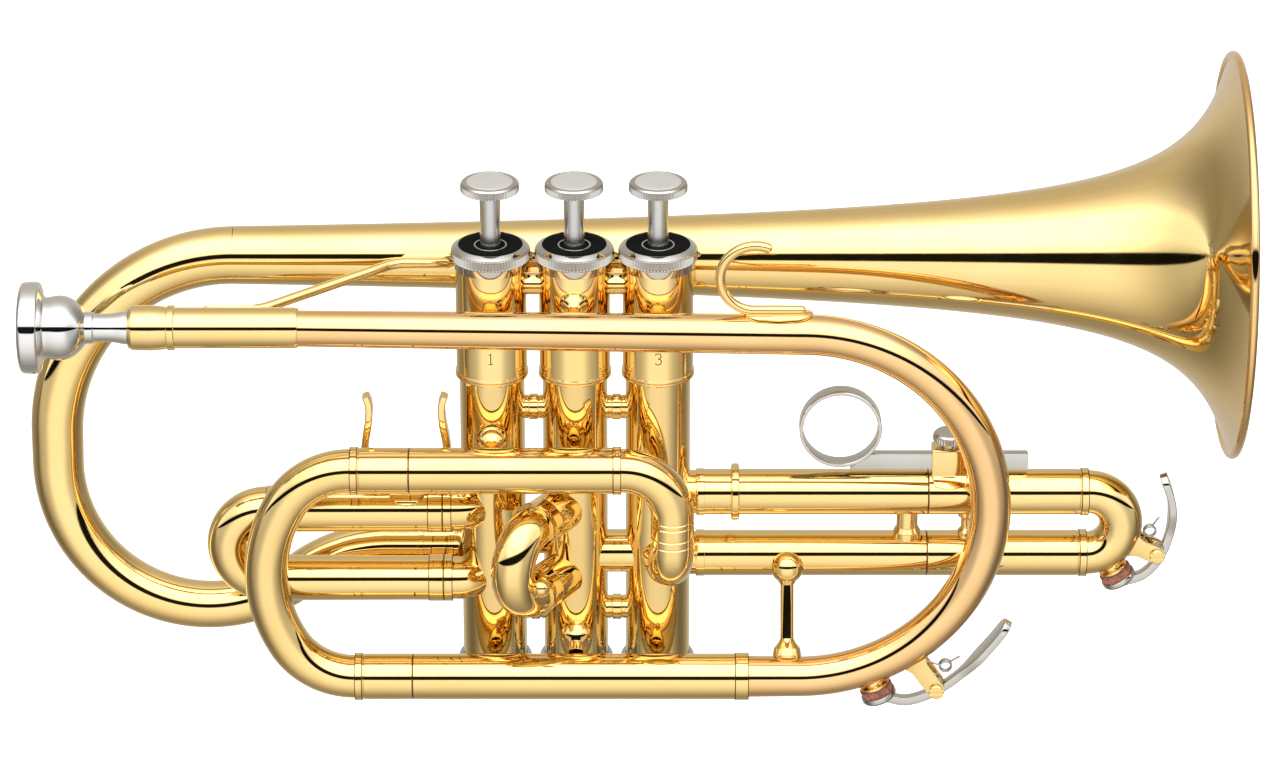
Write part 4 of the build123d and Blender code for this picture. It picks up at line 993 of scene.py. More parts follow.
# ---- valve block -------------------------------------------------------------------------------
def casings():
    """The three casings; numerals() puts the numerals on the first and the third."""
    for i, x in enumerate(VALVE_X):
        profile = [
            (CASING_BOTTOM, CASING_BORE), (CASING_BOTTOM, CASING_R),
            (CASING_SEAM - 1.6, CASING_R), (CASING_SEAM - 0.9, CASING_TOP_R + CASING_BEAD),
            (CASING_SEAM - 0.3, CASING_TOP_R + CASING_BEAD),
            (CASING_SEAM - 0.22, CASING_TOP_R - 0.1), (CASING_SEAM - 0.02, CASING_TOP_R - 0.1),
            (CASING_SEAM + 0.06, CASING_TOP_R + CASING_BEAD),
            (CASING_SEAM + 0.6, CASING_TOP_R + CASING_BEAD - 0.1),
            (CASING_SEAM + 0.7, CASING_TOP_R), (CASING_SHOULDER, CASING_TOP_R),
            (CASING_SHOULDER, CASING_R + 0.5), (CASING_TOP, CASING_R + 0.5),
            (CASING_TOP, SPRING_BORE), (CASING_SEAM, SPRING_BORE), (CASING_SEAM, CASING_BORE),
        ]
        shape = Shape()
        lathe(shape, profile, *along_z(x), bevel=0.08, count=128)
        name = f"valve_casing_{i + 1}"
        shape.finish(name + "_polished", BRASS, "horn", [name])


def numeral_strokes(digit):
    """The strokes of a plain numeral, 3.4 mm tall, in (across, up) from its middle."""
    if digit == 1:
        return [[(-0.55, 1.1), (0.0, 1.7), (0.0, -1.7)], [(-0.6, -1.7), (0.6, -1.7)]]
    strokes = []
    for rise, r, start in ((0.85, 0.85, 160), (-0.85, 0.95, 90)):
        turn = [radians(start - step * 10) for step in range(25 if rise < 0 else 26)]
        strokes.append([(r * cos(a), rise + r * sin(a)) for a in turn])
    return strokes


def numerals():
    """Fine dark numerals on the first and the third casing."""
    for index, digit in ((0, 1), (2, 3)):
        shape = Shape()
        for stroke in numeral_strokes(digit):
            path = []
            for across, up in stroke:
                a = across / CASING_TOP_R
                depth = CASING_TOP_R - 0.07
                path.append((VALVE_X[index] + depth * sin(a), -depth * cos(a), 35.2 + up))
            sweep(shape, path, 0.16, count=10)
        shape.finish(f"casing_numeral_{digit}", ENGRAVED, "horn")


def knurled(low, high, teeth, depth):
    """Straight knurling between two heights, as a ripple of the radius."""

    def ripple(along, angle):
        if not low <= along <= high:
            return 1.0
        edge = min(1.0, (along - low) / 0.25, (high - along) / 0.25)
        return 1.0 - depth * edge * (0.5 + 0.5 * cos(teeth * angle))

    return ripple


def top_caps():
    """The three top caps and their felts."""
    caps = Shape()
    felts = Shape()
    for x in VALVE_X:
        profile = [
            (CASING_SHOULDER, CASING_R + 0.6), (CASING_SHOULDER, CAP_SKIRT_R),
            (KNURL_BOTTOM - 0.35, CAP_SKIRT_R), (KNURL_BOTTOM, CAP_R - 0.25),
            (KNURL_BOTTOM + 0.25, CAP_R),
        ]
        profile += [(KNURL_BOTTOM + 0.25 + 0.22 * k, CAP_R) for k in range(1, 12)]
        profile += [
            (KNURL_TOP - 0.35, CAP_R - 0.12), (KNURL_TOP - 0.25, CAP_R - 0.35),
            (KNURL_TOP - 0.12, CAP_R - 0.3), (KNURL_TOP, CAP_R - 0.35), (CAP_TOP, FELT_R + 0.3),
            (CAP_TOP, FELT_R), (CAP_TOP - 1.3, FELT_R), (CAP_TOP - 1.3, CAP_RING_R),
            (CAP_TOP - 0.1, CAP_RING_R), (CAP_TOP - 0.1, CAP_HOLE_R), (CASING_TOP, CAP_HOLE_R),
            (CASING_TOP, CASING_R + 0.6),
        ]
        ripple = knurled(KNURL_BOTTOM + 0.1, KNURL_TOP - 0.4, 72, 0.05)
        lathe(caps, profile, *along_z(x), bevel=0.1, count=432, ripple=ripple)
        felt = [
            (CAP_TOP - 1.28, CAP_RING_R + 0.02), (CAP_TOP - 1.28, FELT_R - 0.02),
            (CAP_TOP - 0.12, FELT_R - 0.02), (CAP_TOP - 0.08, 7.0),
            (CAP_TOP - 0.12, CAP_RING_R + 0.02),
        ]
        lathe(felts, felt, *along_z(x), bevel=0.2)
    caps.polished("top_caps", NICKEL)
    felts.finish("cap_felts_pressed", FELT, "horn", ["cap_felts"])


def stem_felts():
    """The felt rings round the stems, inside the caps' holes."""
    for i, x in enumerate(VALVE_X):
        ring = Shape()
        profile = ring_profile(CASING_TOP + 0.4, CAP_TOP - 0.45, CAP_HOLE_R - 0.02, STEM_R + 0.12)
        lathe(ring, profile, *along_z(x), bevel=0.2, count=64)
        ring.finish(f"stem_felt_{i + 1}", FELT, "horn")


def bottom_caps():
    """The knurled bottom caps with their vent nipples."""
    shape = Shape()
    for x in VALVE_X:
        z = CASING_BOTTOM
        profile = [(z + 5.0, CASING_R), (z + 5.0, CASING_R + 0.8), (z + 4.0, CASING_R + 1.4)]
        profile += [(z + 4.0 - 0.4 * k, CASING_R + 1.4) for k in range(1, 12)]
        profile += [
            (z - 0.6, CASING_R + 1.4), (z - 1.8, CASING_R), (z - 2.0, 3.2), (z - 3.4, 2.8),
            (z - 3.4, 1.2), (z, 1.2), (z, CASING_R),
        ]
        ripple = knurled(z - 0.5, z + 3.9, 72, 0.04)
        lathe(shape, profile, *along_z(x), bevel=0.2, count=432, ripple=ripple)
    shape.polished("bottom_caps", NICKEL)


def valve_stem(i, x):
    """A stem, screwed into the barrel below and the finger button above."""
    profile = [
        (STEM_BOTTOM - 2.2, 0.0), (STEM_BOTTOM - 2.2, THREAD_R),
        (STEM_BOTTOM, THREAD_R), (STEM_BOTTOM, STEM_R),
        (BUTTON_BOTTOM, STEM_R), (BUTTON_BOTTOM, THREAD_R),
        (BUTTON_BOTTOM + 1.2, THREAD_R), (BUTTON_BOTTOM + 1.2, 0.0),
    ]
    shape = Shape()
    lathe(shape, profile, *along_z(x), closed=False, bevel=0.1, count=64)
    shape.finish(f"valve_stem_{i}_turned", SATIN, f"valve_{i}", [f"valve_stem_{i}"])


def finger_button(i, x):
    """A knurled finger button, hollowed for its inlay."""
    top = BUTTON_TOP
    profile = [(BUTTON_BOTTOM + 1.25, 0.0), (BUTTON_BOTTOM + 1.25, 1.8), (BUTTON_BOTTOM, 1.8)]
    profile += [(BUTTON_BOTTOM, BUTTON_R - 0.7), (BUTTON_BOTTOM + 0.25, BUTTON_R - 0.2)]
    profile += [(BUTTON_BOTTOM + 0.45 + 0.22 * k, BUTTON_R) for k in range(9)]
    profile += [(top - 0.55, BUTTON_R - 0.12), (top - 0.12, BUTTON_R - 0.6), (top, INLAY_R + 0.45)]
    profile += [(top, INLAY_R), (top - INLAY_DEPTH, INLAY_R), (top - INLAY_DEPTH, 0.0)]
    ripple = knurled(BUTTON_BOTTOM + 0.3, top - 0.6, 60, 0.055)
    shape = Shape()
    lathe(shape, profile, *along_z(x), closed=False, bevel=0.1, count=360, ripple=ripple)
    shape.polished(f"finger_button_{i}", NICKEL, f"valve_{i}")


def button_inlay(i, x):
    """The satin disc let into a button, slightly domed."""
    top = BUTTON_TOP
    profile = [(top - INLAY_DEPTH, 0.0), (top - INLAY_DEPTH, INLAY_R - 0.03), (top - 0.05, INLAY_R - 0.03)]
    profile += [(top + 0.12, INLAY_R - 0.8), (top + 0.19, INLAY_R - 2.4), (top + 0.2, 0.0)]
    shape = Shape()
    lathe(shape, profile, *along_z(x), closed=False, bevel=0.1)
    shape.finish(f"button_inlay_{i}_satin", INLAY, f"valve_{i}", [f"button_inlay_{i}"])


def stems_and_buttons():
    """Each valve's stem, knurled finger button and satin inlay."""
    for i, x in enumerate(VALVE_X, 1):
        valve_stem(i, x)
        finger_button(i, x)
        button_inlay(i, x)


def between_casings():
    """The passages and the turned spacers between the casings."""
    passages = Shape()
    for left, z in ((0, PASSAGE_12_Z), (1, PASSAGE_23_Z)):
        first = len(passages.vertices)
        tube = ring_profile(VALVE_X[left], VALVE_X[left + 1], BOW_R, BORE_R)
        lathe(passages, tube, *along_x(0, z), bevel=0)
        clear_of_casing(passages, first, left, (1, 0))
        clear_of_casing(passages, first, left + 1, (-1, 0))
    passages.polished("intervalve_tubes", BRASS)

    spacers = Shape()
    for left in (0, 1):
        x_a = VALVE_X[left]
        x_b = VALVE_X[left + 1]
        mid = (x_a + x_b) / 2
        for z in (15.6, -49.4):
            near = CASING_R - EMBED
            profile = [
                (x_a + near, 0.0), (x_a + near, 3.5), (mid - 1.6, 3.5), (mid - 1.5, 3.3),
                (mid - 1.35, 3.3), (mid - 1.2, 3.8), (mid + 1.2, 3.8), (mid + 1.35, 3.3),
                (mid + 1.5, 3.3), (mid + 1.6, 3.5), (x_b - near, 3.5), (x_b - near, 0.0),
            ]
            first = len(spacers.vertices)
            lathe(spacers, profile, *along_x(0, z), closed=False, bevel=0.15, count=64)
            reach_back(spacers, first, mid, left, near)
        first = len(spacers.vertices)
        near = CASING_TOP_R - EMBED
        profile = [(x_a + near, 0.0), (x_a + near, 3.2), (x_b - near, 3.2), (x_b - near, 0.0)]
        lathe(spacers, profile, *along_x(0, 54.5), closed=False, bevel=0, count=64)
        reach_back(spacers, first, mid, left, near)
    spacers.polished("casing_spacers", BRASS)


# ---- ferrules, braces, hook ---------------------------------------------------------------------
def ferrules():
    """The fixed ferrules and bands over the joints."""
    shape = Shape()
    _, _, level = tail_points()
    for x_a, x_b in ((-46.6, -44.9), (-37.9, -34.8)):
        band = ring_profile(x_a, x_b, TAIL_R + 0.25, TAIL_R - 0.1)
        lathe(shape, band, *along_x(level[1], level[2]), bevel=0.14)
    socket = ring_profile(SOCKET_X, SOCKET_END, FERRULE_R, 6.0)
    lathe(shape, socket, *along_x(LEAD_Y, TUNING_LOW_Z), bevel=0.16)
    elbow_band = ring_profile(ELBOW_START_X, ELBOW_START_X + ELBOW_BAND, FERRULE_R, 6.2)
    lathe(shape, elbow_band, *along_x(LEAD_Y, TUNING_HIGH_Z), bevel=0.16)
    for z in THIRD_Z:
        lathe(shape, ring_profile(35.15, 37.75, BAND_R + 0.02, 6.0), *along_x(0, z), bevel=0.3)
    lathe(shape, ring_profile(45.4, 47.8, 8.3, 6.5), *along_x(0, THIRD_Z[0]), bevel=0.7)
    shape.polished("tube_ferrules", BRASS)


def fine_lines(name, body, lines):
    """Thin dark parting lines round tubes along X, each given as place, Y, Z and radius."""
    shape = Shape()
    for x, y, z, radius in lines:
        profile = ring_profile(x - LINE_HALF, x + LINE_HALF, radius + 0.02, radius - 0.1)
        lathe(shape, profile, *along_x(y, z), bevel=0)
    shape.finish(name, ENGRAVED, body)


def parting_lines():
    """The lines where sleeves, ferrules and tubes meet."""
    near = LINE_HALF
    ends = (near, FERRULE_LENGTH - near)
    levels = (TUNING_HIGH_Z, TUNING_LOW_Z)
    elbow_ends = (near, ELBOW_BAND - near)
    fixed = [(ELBOW_START_X + rise, LEAD_Y, TUNING_HIGH_Z, FERRULE_R) for rise in elbow_ends]
    fixed += [(x, LEAD_Y, TUNING_LOW_Z, FERRULE_R) for x in (SOCKET_END, SOCKET_X)]
    fixed += [(TUNING_PART_X + near, LEAD_Y, z, OUTER_R) for z in levels]
    fixed += [(x, FIRST_Y, z, BAND_R) for z in FIRST_Z for x in (FIRST_PART_X + near, -36.1)]
    fixed += [(THIRD_PART_X - near, 0, z, OUTER_R) for z in THIRD_Z]
    fine_lines("fixed_tube_lines", "horn", fixed)
    tuning = [(TUNING_BOW_X + rise, LEAD_Y, z, FERRULE_R) for z in levels for rise in ends]
    fine_lines("tuning_slide_lines", "tuning_slide", tuning)
    fine_lines("first_slide_lines", "first_slide", [(-42.89, FIRST_Y, z, BAND_R) for z in FIRST_Z])
    third = [(THIRD_BOW_X - drop, 0, z, FERRULE_R) for z in THIRD_Z for drop in ends]
    fine_lines("third_slide_lines", "third_slide", third)


def ball_post():
    """Outline, place and direction of the post between the third slide and the crook, with its ball."""
    ball = vec((61.9, -6.0, -33.4))
    end = vec((61.9, -17.0, -58.5))
    ball_r = 4.9
    stem_r = 1.95
    length = float(np.linalg.norm(end - ball))
    profile = [(-ball_r, 0.0)]
    for k in range(1, 16):
        a = radians(-90 + 156 * k / 16)
        profile.append((ball_r * sin(a), ball_r * cos(a)))
    profile += [(5.2, stem_r), (length - 6.4, stem_r), (length - 5.2, 2.6), (length - 3.6, 3.9)]
    profile += [(length - 1.6, 4.2), (length - 0.8, 4.1), (length - 0.8, 0.0)]
    return profile, ball, (end - ball) / length


def braces():
    """The turned posts between the tubes and the valve block."""
    shape = Shape()
    up = (0, 0, 1)
    side = (1, 0, 0)
    post(shape, (0, -CASING_TOP_R, 52.1), (0, -13.9, 51.5), 1.6, 4.2, up, CASING_TOP_R, side, 5.75)
    post(shape, (-24, -CASING_R, 8.8), (-24, -12.9, 8.4), 2.2, 4.8, up, CASING_R, side, OUTER_R)
    post(shape, (0, -CASING_R, -54.7), (0, -14.4, -57.0), 2.2, 4.8, up, CASING_R, side, OUTER_R)
    lathe(shape, *ball_post(), closed=False, bevel=0.25, count=48)
    cone = [(-27.5, 0.0), (-27.5, 4.1), (-24.2, 4.0), (-22.6, 3.1), (-16.0, 3.1), (-16.0, 0.0)]
    lathe(shape, cone, *along_z(97.1), closed=False, bevel=0.5, count=64)
    shape.finish("tube_braces_turned", BRASS, "horn", ["tube_braces"])


def bell_brace():
    """The long S-shaped brace from the receiver to the bell, with a foot at each end."""
    corners = [
        (-106.0, -12.7, 51.7), (-90.0, -12.7, 51.7), (-52.0, BELL_Y - 11.5, BELL_Z + 2.4),
        (-36.0, BELL_Y - 11.0, BELL_Z + 2.2),
    ]
    shape = Shape()
    sweep(shape, rounded_ends(fillet_path(corners, [12, 12])), end_round(1.5, 56.0), count=32)
    curved_plate(shape, -96.7, LEAD_Y, RECEIVER_Z, 5.85, 20, 30, 10.6)
    curved_plate(shape, -42.7, BELL_Y, BELL_Z, bell_radius(-42.7), 167, 16, 8.0)
    shape.polished("bell_brace", BRASS)


def rounded_ends(points, reach=1.5, steps=5):
    """Add close points near both ends of a path, so that its radius can close in a dome."""
    head = []
    tail = []
    for k in range(steps):
        near = reach * (1 - cos(pi / 2 * k / steps))
        head.append(points[0] + unit(points[1] - points[0]) * near)
        tail.append(points[-1] + unit(points[-2] - points[-1]) * near)
    return head + list(points[1:-1]) + tail[::-1]


def end_round(radius, length):
    """A radius that closes in a dome at both ends of a bar of about that length."""

    def size(s):
        inside = min(s, 1 - s) * length
        if inside >= radius:
            return radius
        return max(0.05, sqrt(max(0.0, radius * radius - (radius - inside) ** 2)))

    return size


def finger_hook():
    """The little-finger hook and its foot plate on the leadpipe."""
    r = 9.9
    x = 51.4
    z = 54.6
    points = [vec((66.0, LEAD_Y, z)), vec((58.0, LEAD_Y, z))]
    points += arc_path((x, LEAD_Y, z + r), (x, LEAD_Y, z), (-1, 0, 0), radians(208), radians(4))
    shape = Shape()
    length = path_length(points)[-1]
    sweep(shape, rounded_ends(points, 1.45), end_round(1.45, length), count=32)
    curved_plate(shape, 58.1, LEAD_Y, 47.2, 5.9, 90, 34, 9.8, 1.1)
    shape.polished("finger_hook", BRASS)


# ---- mouthpiece, ring, keys -----------------------------------------------------------------------
def chaikin(points, rounds=2):
    """Cut the corners of a closed outline twice, which leaves a smooth curve."""
    for _ in range(rounds):
        out = []
        for i, a in enumerate(points):
            b = points[(i + 1) % len(points)]
            out.append((0.75 * a[0] + 0.25 * b[0], 0.75 * a[1] + 0.25 * b[1]))
            out.append((0.25 * a[0] + 0.75 * b[0], 0.25 * a[1] + 0.75 * b[1]))
        points = out
    return points


def mouthpiece():
    """The silver-plated mouthpiece."""
    profile = [
        (-156.5, 8.1), (-157.1, 8.7), (-157.35, 9.8), (-157.25, 11.4), (-156.8, 12.6),
        (-156.0, 13.1), (-152.2, 13.1), (-151.4, 12.6), (-151.0, 10.2), (-150.2, 8.6),
        (-148.6, 8.9), (-146.5, 9.3), (-144.2, 9.1), (-142.0, 8.1), (-140.2, 6.6), (-139.0, 5.0),
        (-138.6, 4.5), (-136.6, 4.5), (-136.2, 4.0), (-133.0, 3.95), (-130.5, 4.2), (-128.6, 4.6),
        (-127.0, 4.8), (-98.0, 4.45), (-98.0, 3.4), (-142.5, 1.85), (-144.5, 1.85), (-146.8, 3.6),
        (-149.5, 6.0), (-152.5, 7.4), (-155.5, 8.0),
    ]
    shape = Shape()
    lathe(shape, chaikin(profile), *along_x(LEAD_Y, RECEIVER_Z), bevel=0, count=144)
    shape.polished("mouthpiece", SILVER, "mouthpiece", sharp=40)


RING_X = 77.1
RING_Z = 9.2
RING_R = 12.1
RING_WALL = 1.3
RING_WIDTH = 5.3
BAR_HEIGHT = 4.9
BAR_WIDTH = 3.2
BAR_LOW_Z = -4.0
BAR_END = 131.9
HOLDER_X = 109.1
HOLDER_LENGTH = 10.6
HOLDER_WALL = 1.9
HOLDER_TOP_Z = 3.0
SCREW_SEAT_Z = 4.8
SCREW_HEAD_R = 5.0


def rectangle_ring(x, y_half, z_low, z_high, corner, steps=4):
    """A rounded rectangle of points across the X axis."""
    ring = []
    centres = [
        (y_half - corner, z_high - corner), (-y_half + corner, z_high - corner),
        (-y_half + corner, z_low + corner), (y_half - corner, z_low + corner),
    ]
    for quarter, (y, z) in enumerate(centres):
        for k in range(steps + 1):
            a = pi / 2 * (quarter + k / steps)
            ring.append((x, y + corner * cos(a), z + corner * sin(a)))
    return ring


def finger_ring():
    """The finger ring, with the bar that slides in its holder."""
    half = RING_WIDTH / 2
    shape = Shape()
    band = [
        (-half, RING_R - RING_WALL + 0.1), (-half, RING_R - 0.1), (half, RING_R - 0.1),
        (half, RING_R - RING_WALL + 0.1),
    ]
    lathe(shape, band, (RING_X, 0, RING_Z), (0, 1, 0), bevel=0.45, count=128)
    bar_half = BAR_WIDTH / 2
    low = BAR_LOW_Z
    rings = []
    for step in range(4):
        ring = []
        for _, y, z in rectangle_ring(0, bar_half, low, low + BAR_HEIGHT, 0.25):
            drop = RING_Z - z
            inside = (RING_R - RING_WALL / 2) ** 2 - drop * drop
            start = RING_X + max(3.0, sqrt(inside) if inside > 0 else 0.0)
            ring.append((start + (BAR_END - 0.5 - start) * step / 3, y, z))
        rings.append(ring)
    rings.append(rectangle_ring(BAR_END - 0.1, bar_half - 0.08, low + 0.08, low + BAR_HEIGHT - 0.08, 0.25))
    rings.append(rectangle_ring(BAR_END, bar_half - 0.3, low + 0.3, low + BAR_HEIGHT - 0.3, 0.2))
    shape.rings(rings, cap_start=True, cap_end=True)
    shape.polished("finger_ring", NICKEL, "finger_ring")


def ring_holder():
    """The brass box that clamps the ring's bar, on its saddle."""
    low = BAR_LOW_Z
    bottom = THIRD_Z[0] + OUTER_R - 1.2
    top = HOLDER_TOP_Z
    half = BAR_WIDTH / 2 + HOLDER_WALL
    x_a = HOLDER_X - HOLDER_LENGTH / 2
    x_b = HOLDER_X + HOLDER_LENGTH / 2
    shape = Shape()
    edge = 0.35
    tunnel = (BAR_WIDTH / 2 + 0.06, low - 0.06, low + BAR_HEIGHT + 0.06, 0.25)
    rings = [
        rectangle_ring(x_a, *tunnel),
        rectangle_ring(x_a, half - edge, bottom + edge, top - edge, 0.5),
        rectangle_ring(x_a + 0.1, half - 0.1, bottom + 0.1, top - 0.1, 0.6),
        rectangle_ring(x_a + edge, half, bottom, top, 0.7),
        rectangle_ring(x_b - edge, half, bottom, top, 0.7),
        rectangle_ring(x_b - 0.1, half - 0.1, bottom + 0.1, top - 0.1, 0.6),
        rectangle_ring(x_b, half - edge, bottom + edge, top - edge, 0.5),
        rectangle_ring(x_b, *tunnel),
    ]
    shape.rings(rings, closed_along=True)
    curved_plate(shape, HOLDER_X, 0, THIRD_Z[0], OUTER_R, 90, 60, 5.2, square=True)
    shape.polished("ring_holder", BRASS, "third_slide")


def ring_thumbscrew():
    """The knurled thumbscrew with its domed head."""
    low = BAR_LOW_Z + BAR_HEIGHT + 0.1
    seat = SCREW_SEAT_Z
    r = SCREW_HEAD_R
    collar = HOLDER_TOP_Z + 0.1
    profile = [(low, 0.0), (low, 1.4), (collar, 1.4), (collar, 2.6), (seat, 2.6)]
    profile += [(seat, r - 0.4), (seat + 0.3, r)]
    profile += [(seat + 0.3 + 0.18 * k, r) for k in range(1, 10)]
    profile += [(seat + 2.2, r - 0.12), (seat + 2.7, r - 0.7), (seat + 2.75, r - 1.4), (seat + 2.6, 2.5)]
    profile += [(seat + 2.5, 0.0)]
    ripple = knurled(seat + 0.25, seat + 2.0, 36, 0.05)
    shape = Shape()
    lathe(shape, profile, *along_z(HOLDER_X), closed=False, bevel=0.12, count=216, ripple=ripple)
    shape.finish("ring_thumbscrew_knurled", NICKEL, "ring_screw", ["ring_thumbscrew"])


def polar(centre, angle, distance, y):
    """A point in the X-Z plane of a bow, by direction and distance from its centre."""
    a = radians(angle)
    return (centre[0] + distance * cos(a), y, centre[1] + distance * sin(a))


CORK_GAP = 1.15             # from the tube's surface to the cork
CHEEK_HALF = 2.6            # half the width of a mount's cheek
CROOK_PATH_R = (LEAD_END_Z - CROOK_LOW_Z) / 2
THIRD_PATH_R = (THIRD_Z[0] - THIRD_Z[1]) / 2

# the two water keys: bend centre, bend radius, tube radius, hole direction, pivot, Y, lever route,
# spring eye and spring legs
CROOK_KEY = {
    "centre": (CROOK_START_X - 0.4, (LEAD_END_Z + CROOK_LOW_Z) / 2),
    "bend": CROOK_PATH_R,
    "tube": CROOK_R,
    "hole": -69.0,
    "pivot": (105.5, -65.6),
    "y": LEAD_Y,
    "route": [(97.5, -70.2), (105.6, -67.0), (113.5, -60.8), (121.0, -52.0), (126.4, -44.3)],
    "eye": (108.2, -58.9),
    "legs": [(102.1, -56.6), (112.4, -56.4)],
    "body": "horn",
}
SLIDE_KEY = {
    "centre": (THIRD_BOW_X, (THIRD_Z[0] + THIRD_Z[1]) / 2),
    "bend": THIRD_PATH_R,
    "tube": BOW_R,
    "hole": -61.0,
    "pivot": (170.5, -31.2),
    "y": 0.0,
    "route": [(167.0, -38.6), (171.6, -32.9), (174.4, -24.0), (174.4, -15.0), (171.5, -6.1)],
    "eye": (168.4, -24.6),
    "legs": [(165.4, -27.1), (171.0, -20.6)],
    "body": "third_slide",
}


def at_hole(key, rise):
    """Origin and direction of a lathe axis that stands on a key's hole, that far off its tube."""
    hole = radians(key["hole"])
    place = polar(key["centre"], key["hole"], key["bend"] + key["tube"] + rise, key["y"])
    return place, (cos(hole), 0, sin(hole))


def key_mount(name, key):
    """The nipple round the hole, the two cheeks and the slotted pivot screw."""
    cx, cz = key["centre"]
    px, pz = key["pivot"]
    y = key["y"]
    mount = Shape()
    nipple = [(-1.2, 1.3), (-1.2, 2.9), (0.3, 2.9), (0.3, 4.4), (1.1, 4.4), (1.1, 1.3)]
    lathe(mount, nipple, *at_hole(key, 0), bevel=0.2, count=48)
    toward = atan2(pz - cz, px - cx)
    away = vec((cos(toward), 0, sin(toward)))
    across = unit(np.cross(away, (0.0, 1.0, 0.0)))
    start = key["bend"] + key["tube"] - 1.2
    full = hypot(px - cx, pz - cz) + 2.4 - start
    knee = full - CHEEK_HALF

    def cheek(s):
        rise = s * full
        if rise <= knee:
            return CHEEK_HALF + 0.9 * max(0.0, 1 - rise / 2.2)
        return max(0.3, sqrt(max(0.0, CHEEK_HALF**2 - (rise - knee) ** 2)))

    for side in (-1, 1):
        foot = vec((cx, y + side * 3.0, cz))
        path = [foot + away * (start + full * k / 12) for k in range(13)]
        bar(mount, path, across, cheek, 0.5, 0.15)
    screw = [(-4.6, 0.0), (-4.6, 1.9), (-4.35, 2.2), (-3.6, 2.2), (-3.6, 1.0), (4.0, 1.0), (4.0, 0.0)]
    lathe(mount, screw, (px, y, pz), (0, 1, 0), closed=False, bevel=0.12, count=48)
    for side in (-1, 1):
        lip = [(px + end * 2.1, y - 4.68, pz + side * 0.75) for end in (-1, 1)]
        bar(mount, lip, (0, 0, 1), 0.42, 0.12, 0.06)
    mount.polished(f"{name}_mount", BRASS, key["body"])


def key_lever(name, key):
    """The lever with its cork cup, its pivot hub and its finger plate."""
    px, pz = key["pivot"]
    y = key["y"]
    rise = CORK_GAP + 2.4
    cup = Shape()
    shell = [(0.0, 4.88), (0.0, 5.2), (1.3, 5.2), (2.0, 4.7), (2.3, 3.4), (2.4, 0.0)]
    lathe(cup, shell, *at_hole(key, rise), closed=False, bevel=0.25, count=64)
    seat = [(0.0, 4.88), (1.2, 4.88), (1.2, 0.0)]
    lathe(cup, seat, *at_hole(key, rise), closed=False, bevel=0, count=64)
    back = polar(key["centre"], key["hole"] + 1.5, key["bend"] + key["tube"] + rise + 2.4, y)
    route = smooth_path([back] + [(x, y, z) for x, z in key["route"]], 72)
    bar(cup, route, (0, 1, 0), plate_width, plate_thickness, 0.35)
    hub = [(-2.35, 0.0), (-2.35, 2.3), (2.35, 2.3), (2.35, 0.0)]
    lathe(cup, hub, (px, y, pz), (0, 1, 0), closed=False, bevel=0.2, count=48)
    cup.finish(f"{name}_polished", NICKEL, name, [name])


def key_cork(name, key):
    """The cork disc that closes the hole."""
    profile = [(0.05, 0.0), (0.05, 4.5), (0.35, 4.82), (3.6, 4.82), (3.6, 0.0)]
    cork = Shape()
    lathe(cork, profile, *at_hole(key, CORK_GAP), closed=False, bevel=0.2, count=64)
    cork.finish(f"{name}_cork_cut", CORK, name, [f"{name}_cork"])


def water_key(name, key):
    """A water key: mount, lever with its cup, cork and spring."""
    key_mount(name, key)
    key_lever(name, key)
    key_cork(name, key)
    key_spring(name, key)


def plate_width(s):
    """Half width of a lever: narrow along the arm, then a finger plate with a round end."""
    grow = min(1.0, max(0.0, (s - 0.5) / 0.22))
    width = 1.5 + 1.85 * grow * grow * (3 - 2 * grow)
    end = min(1.0, (1 - s) / 0.09)
    return width * sqrt(max(0.02, 1 - (1 - end) ** 2))


def plate_thickness(s):
    """Half thickness of a lever, thinner at its finger plate."""
    return 1.25 - 0.15 * min(1.0, max(0.0, (s - 0.5) / 0.3))


def key_spring(name, key):
    """The torsion spring of a water key, one wire of three turns and two legs."""
    ex, ez = key["eye"]
    y = key["y"]
    r = 1.7
    (ax, az), (bx, bz) = key["legs"]
    start = atan2(az - ez, ax - ex)
    end = atan2(bz - ez, bx - ex)
    turns = 3
    total = end - start - 2 * pi * turns
    path = [vec((ax, y - 0.95, az))]
    steps = 90
    for k in range(steps + 1):
        a = start + total * k / steps
        path.append(vec((ex + r * cos(a), y - 0.95 + 1.9 * k / steps, ez + r * sin(a))))
    path.append(vec((bx, y + 0.95, bz)))
    shape = Shape()
    sweep(shape, path, 0.3, count=12)
    shape.finish(f"{name}_spring_wound", STEEL, key["body"], [f"{name}_spring"], 70)


def valve_springs():
    """The three compression springs, each standing on its guide."""
    low = 30.9
    rise = STEM_BOTTOM - 2.8 - low
    coil_r = 5.4
    turns = 7
    steps = 24 * turns
    for i, x in enumerate(VALVE_X, 1):
        path = []
        for k in range(steps + 1):
            a = 2 * pi * turns * k / steps
            path.append((x + coil_r * cos(a), coil_r * sin(a), low + rise * k / steps))
        shape = Shape()
        sweep(shape, path, 0.42, count=10)
        piece = shape.finish(f"valve_spring_{i}_wound", STEEL, "horn", [f"valve_spring_{i}"], 70)
        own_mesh(piece)


# ---- materials of the CAD nodes that stay ----------------------------------------------------------
def dress_cad():
    """Give the hidden CAD parts, which keep their own shape, their materials."""
    kept = {"valve_guides": NYLON}
    for i in (1, 2, 3):
        kept[f"piston_{i}"] = HONED
    for name, material in kept.items():
        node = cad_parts[name]
        node.data.materials.clear()
        node.data.materials.append(material)


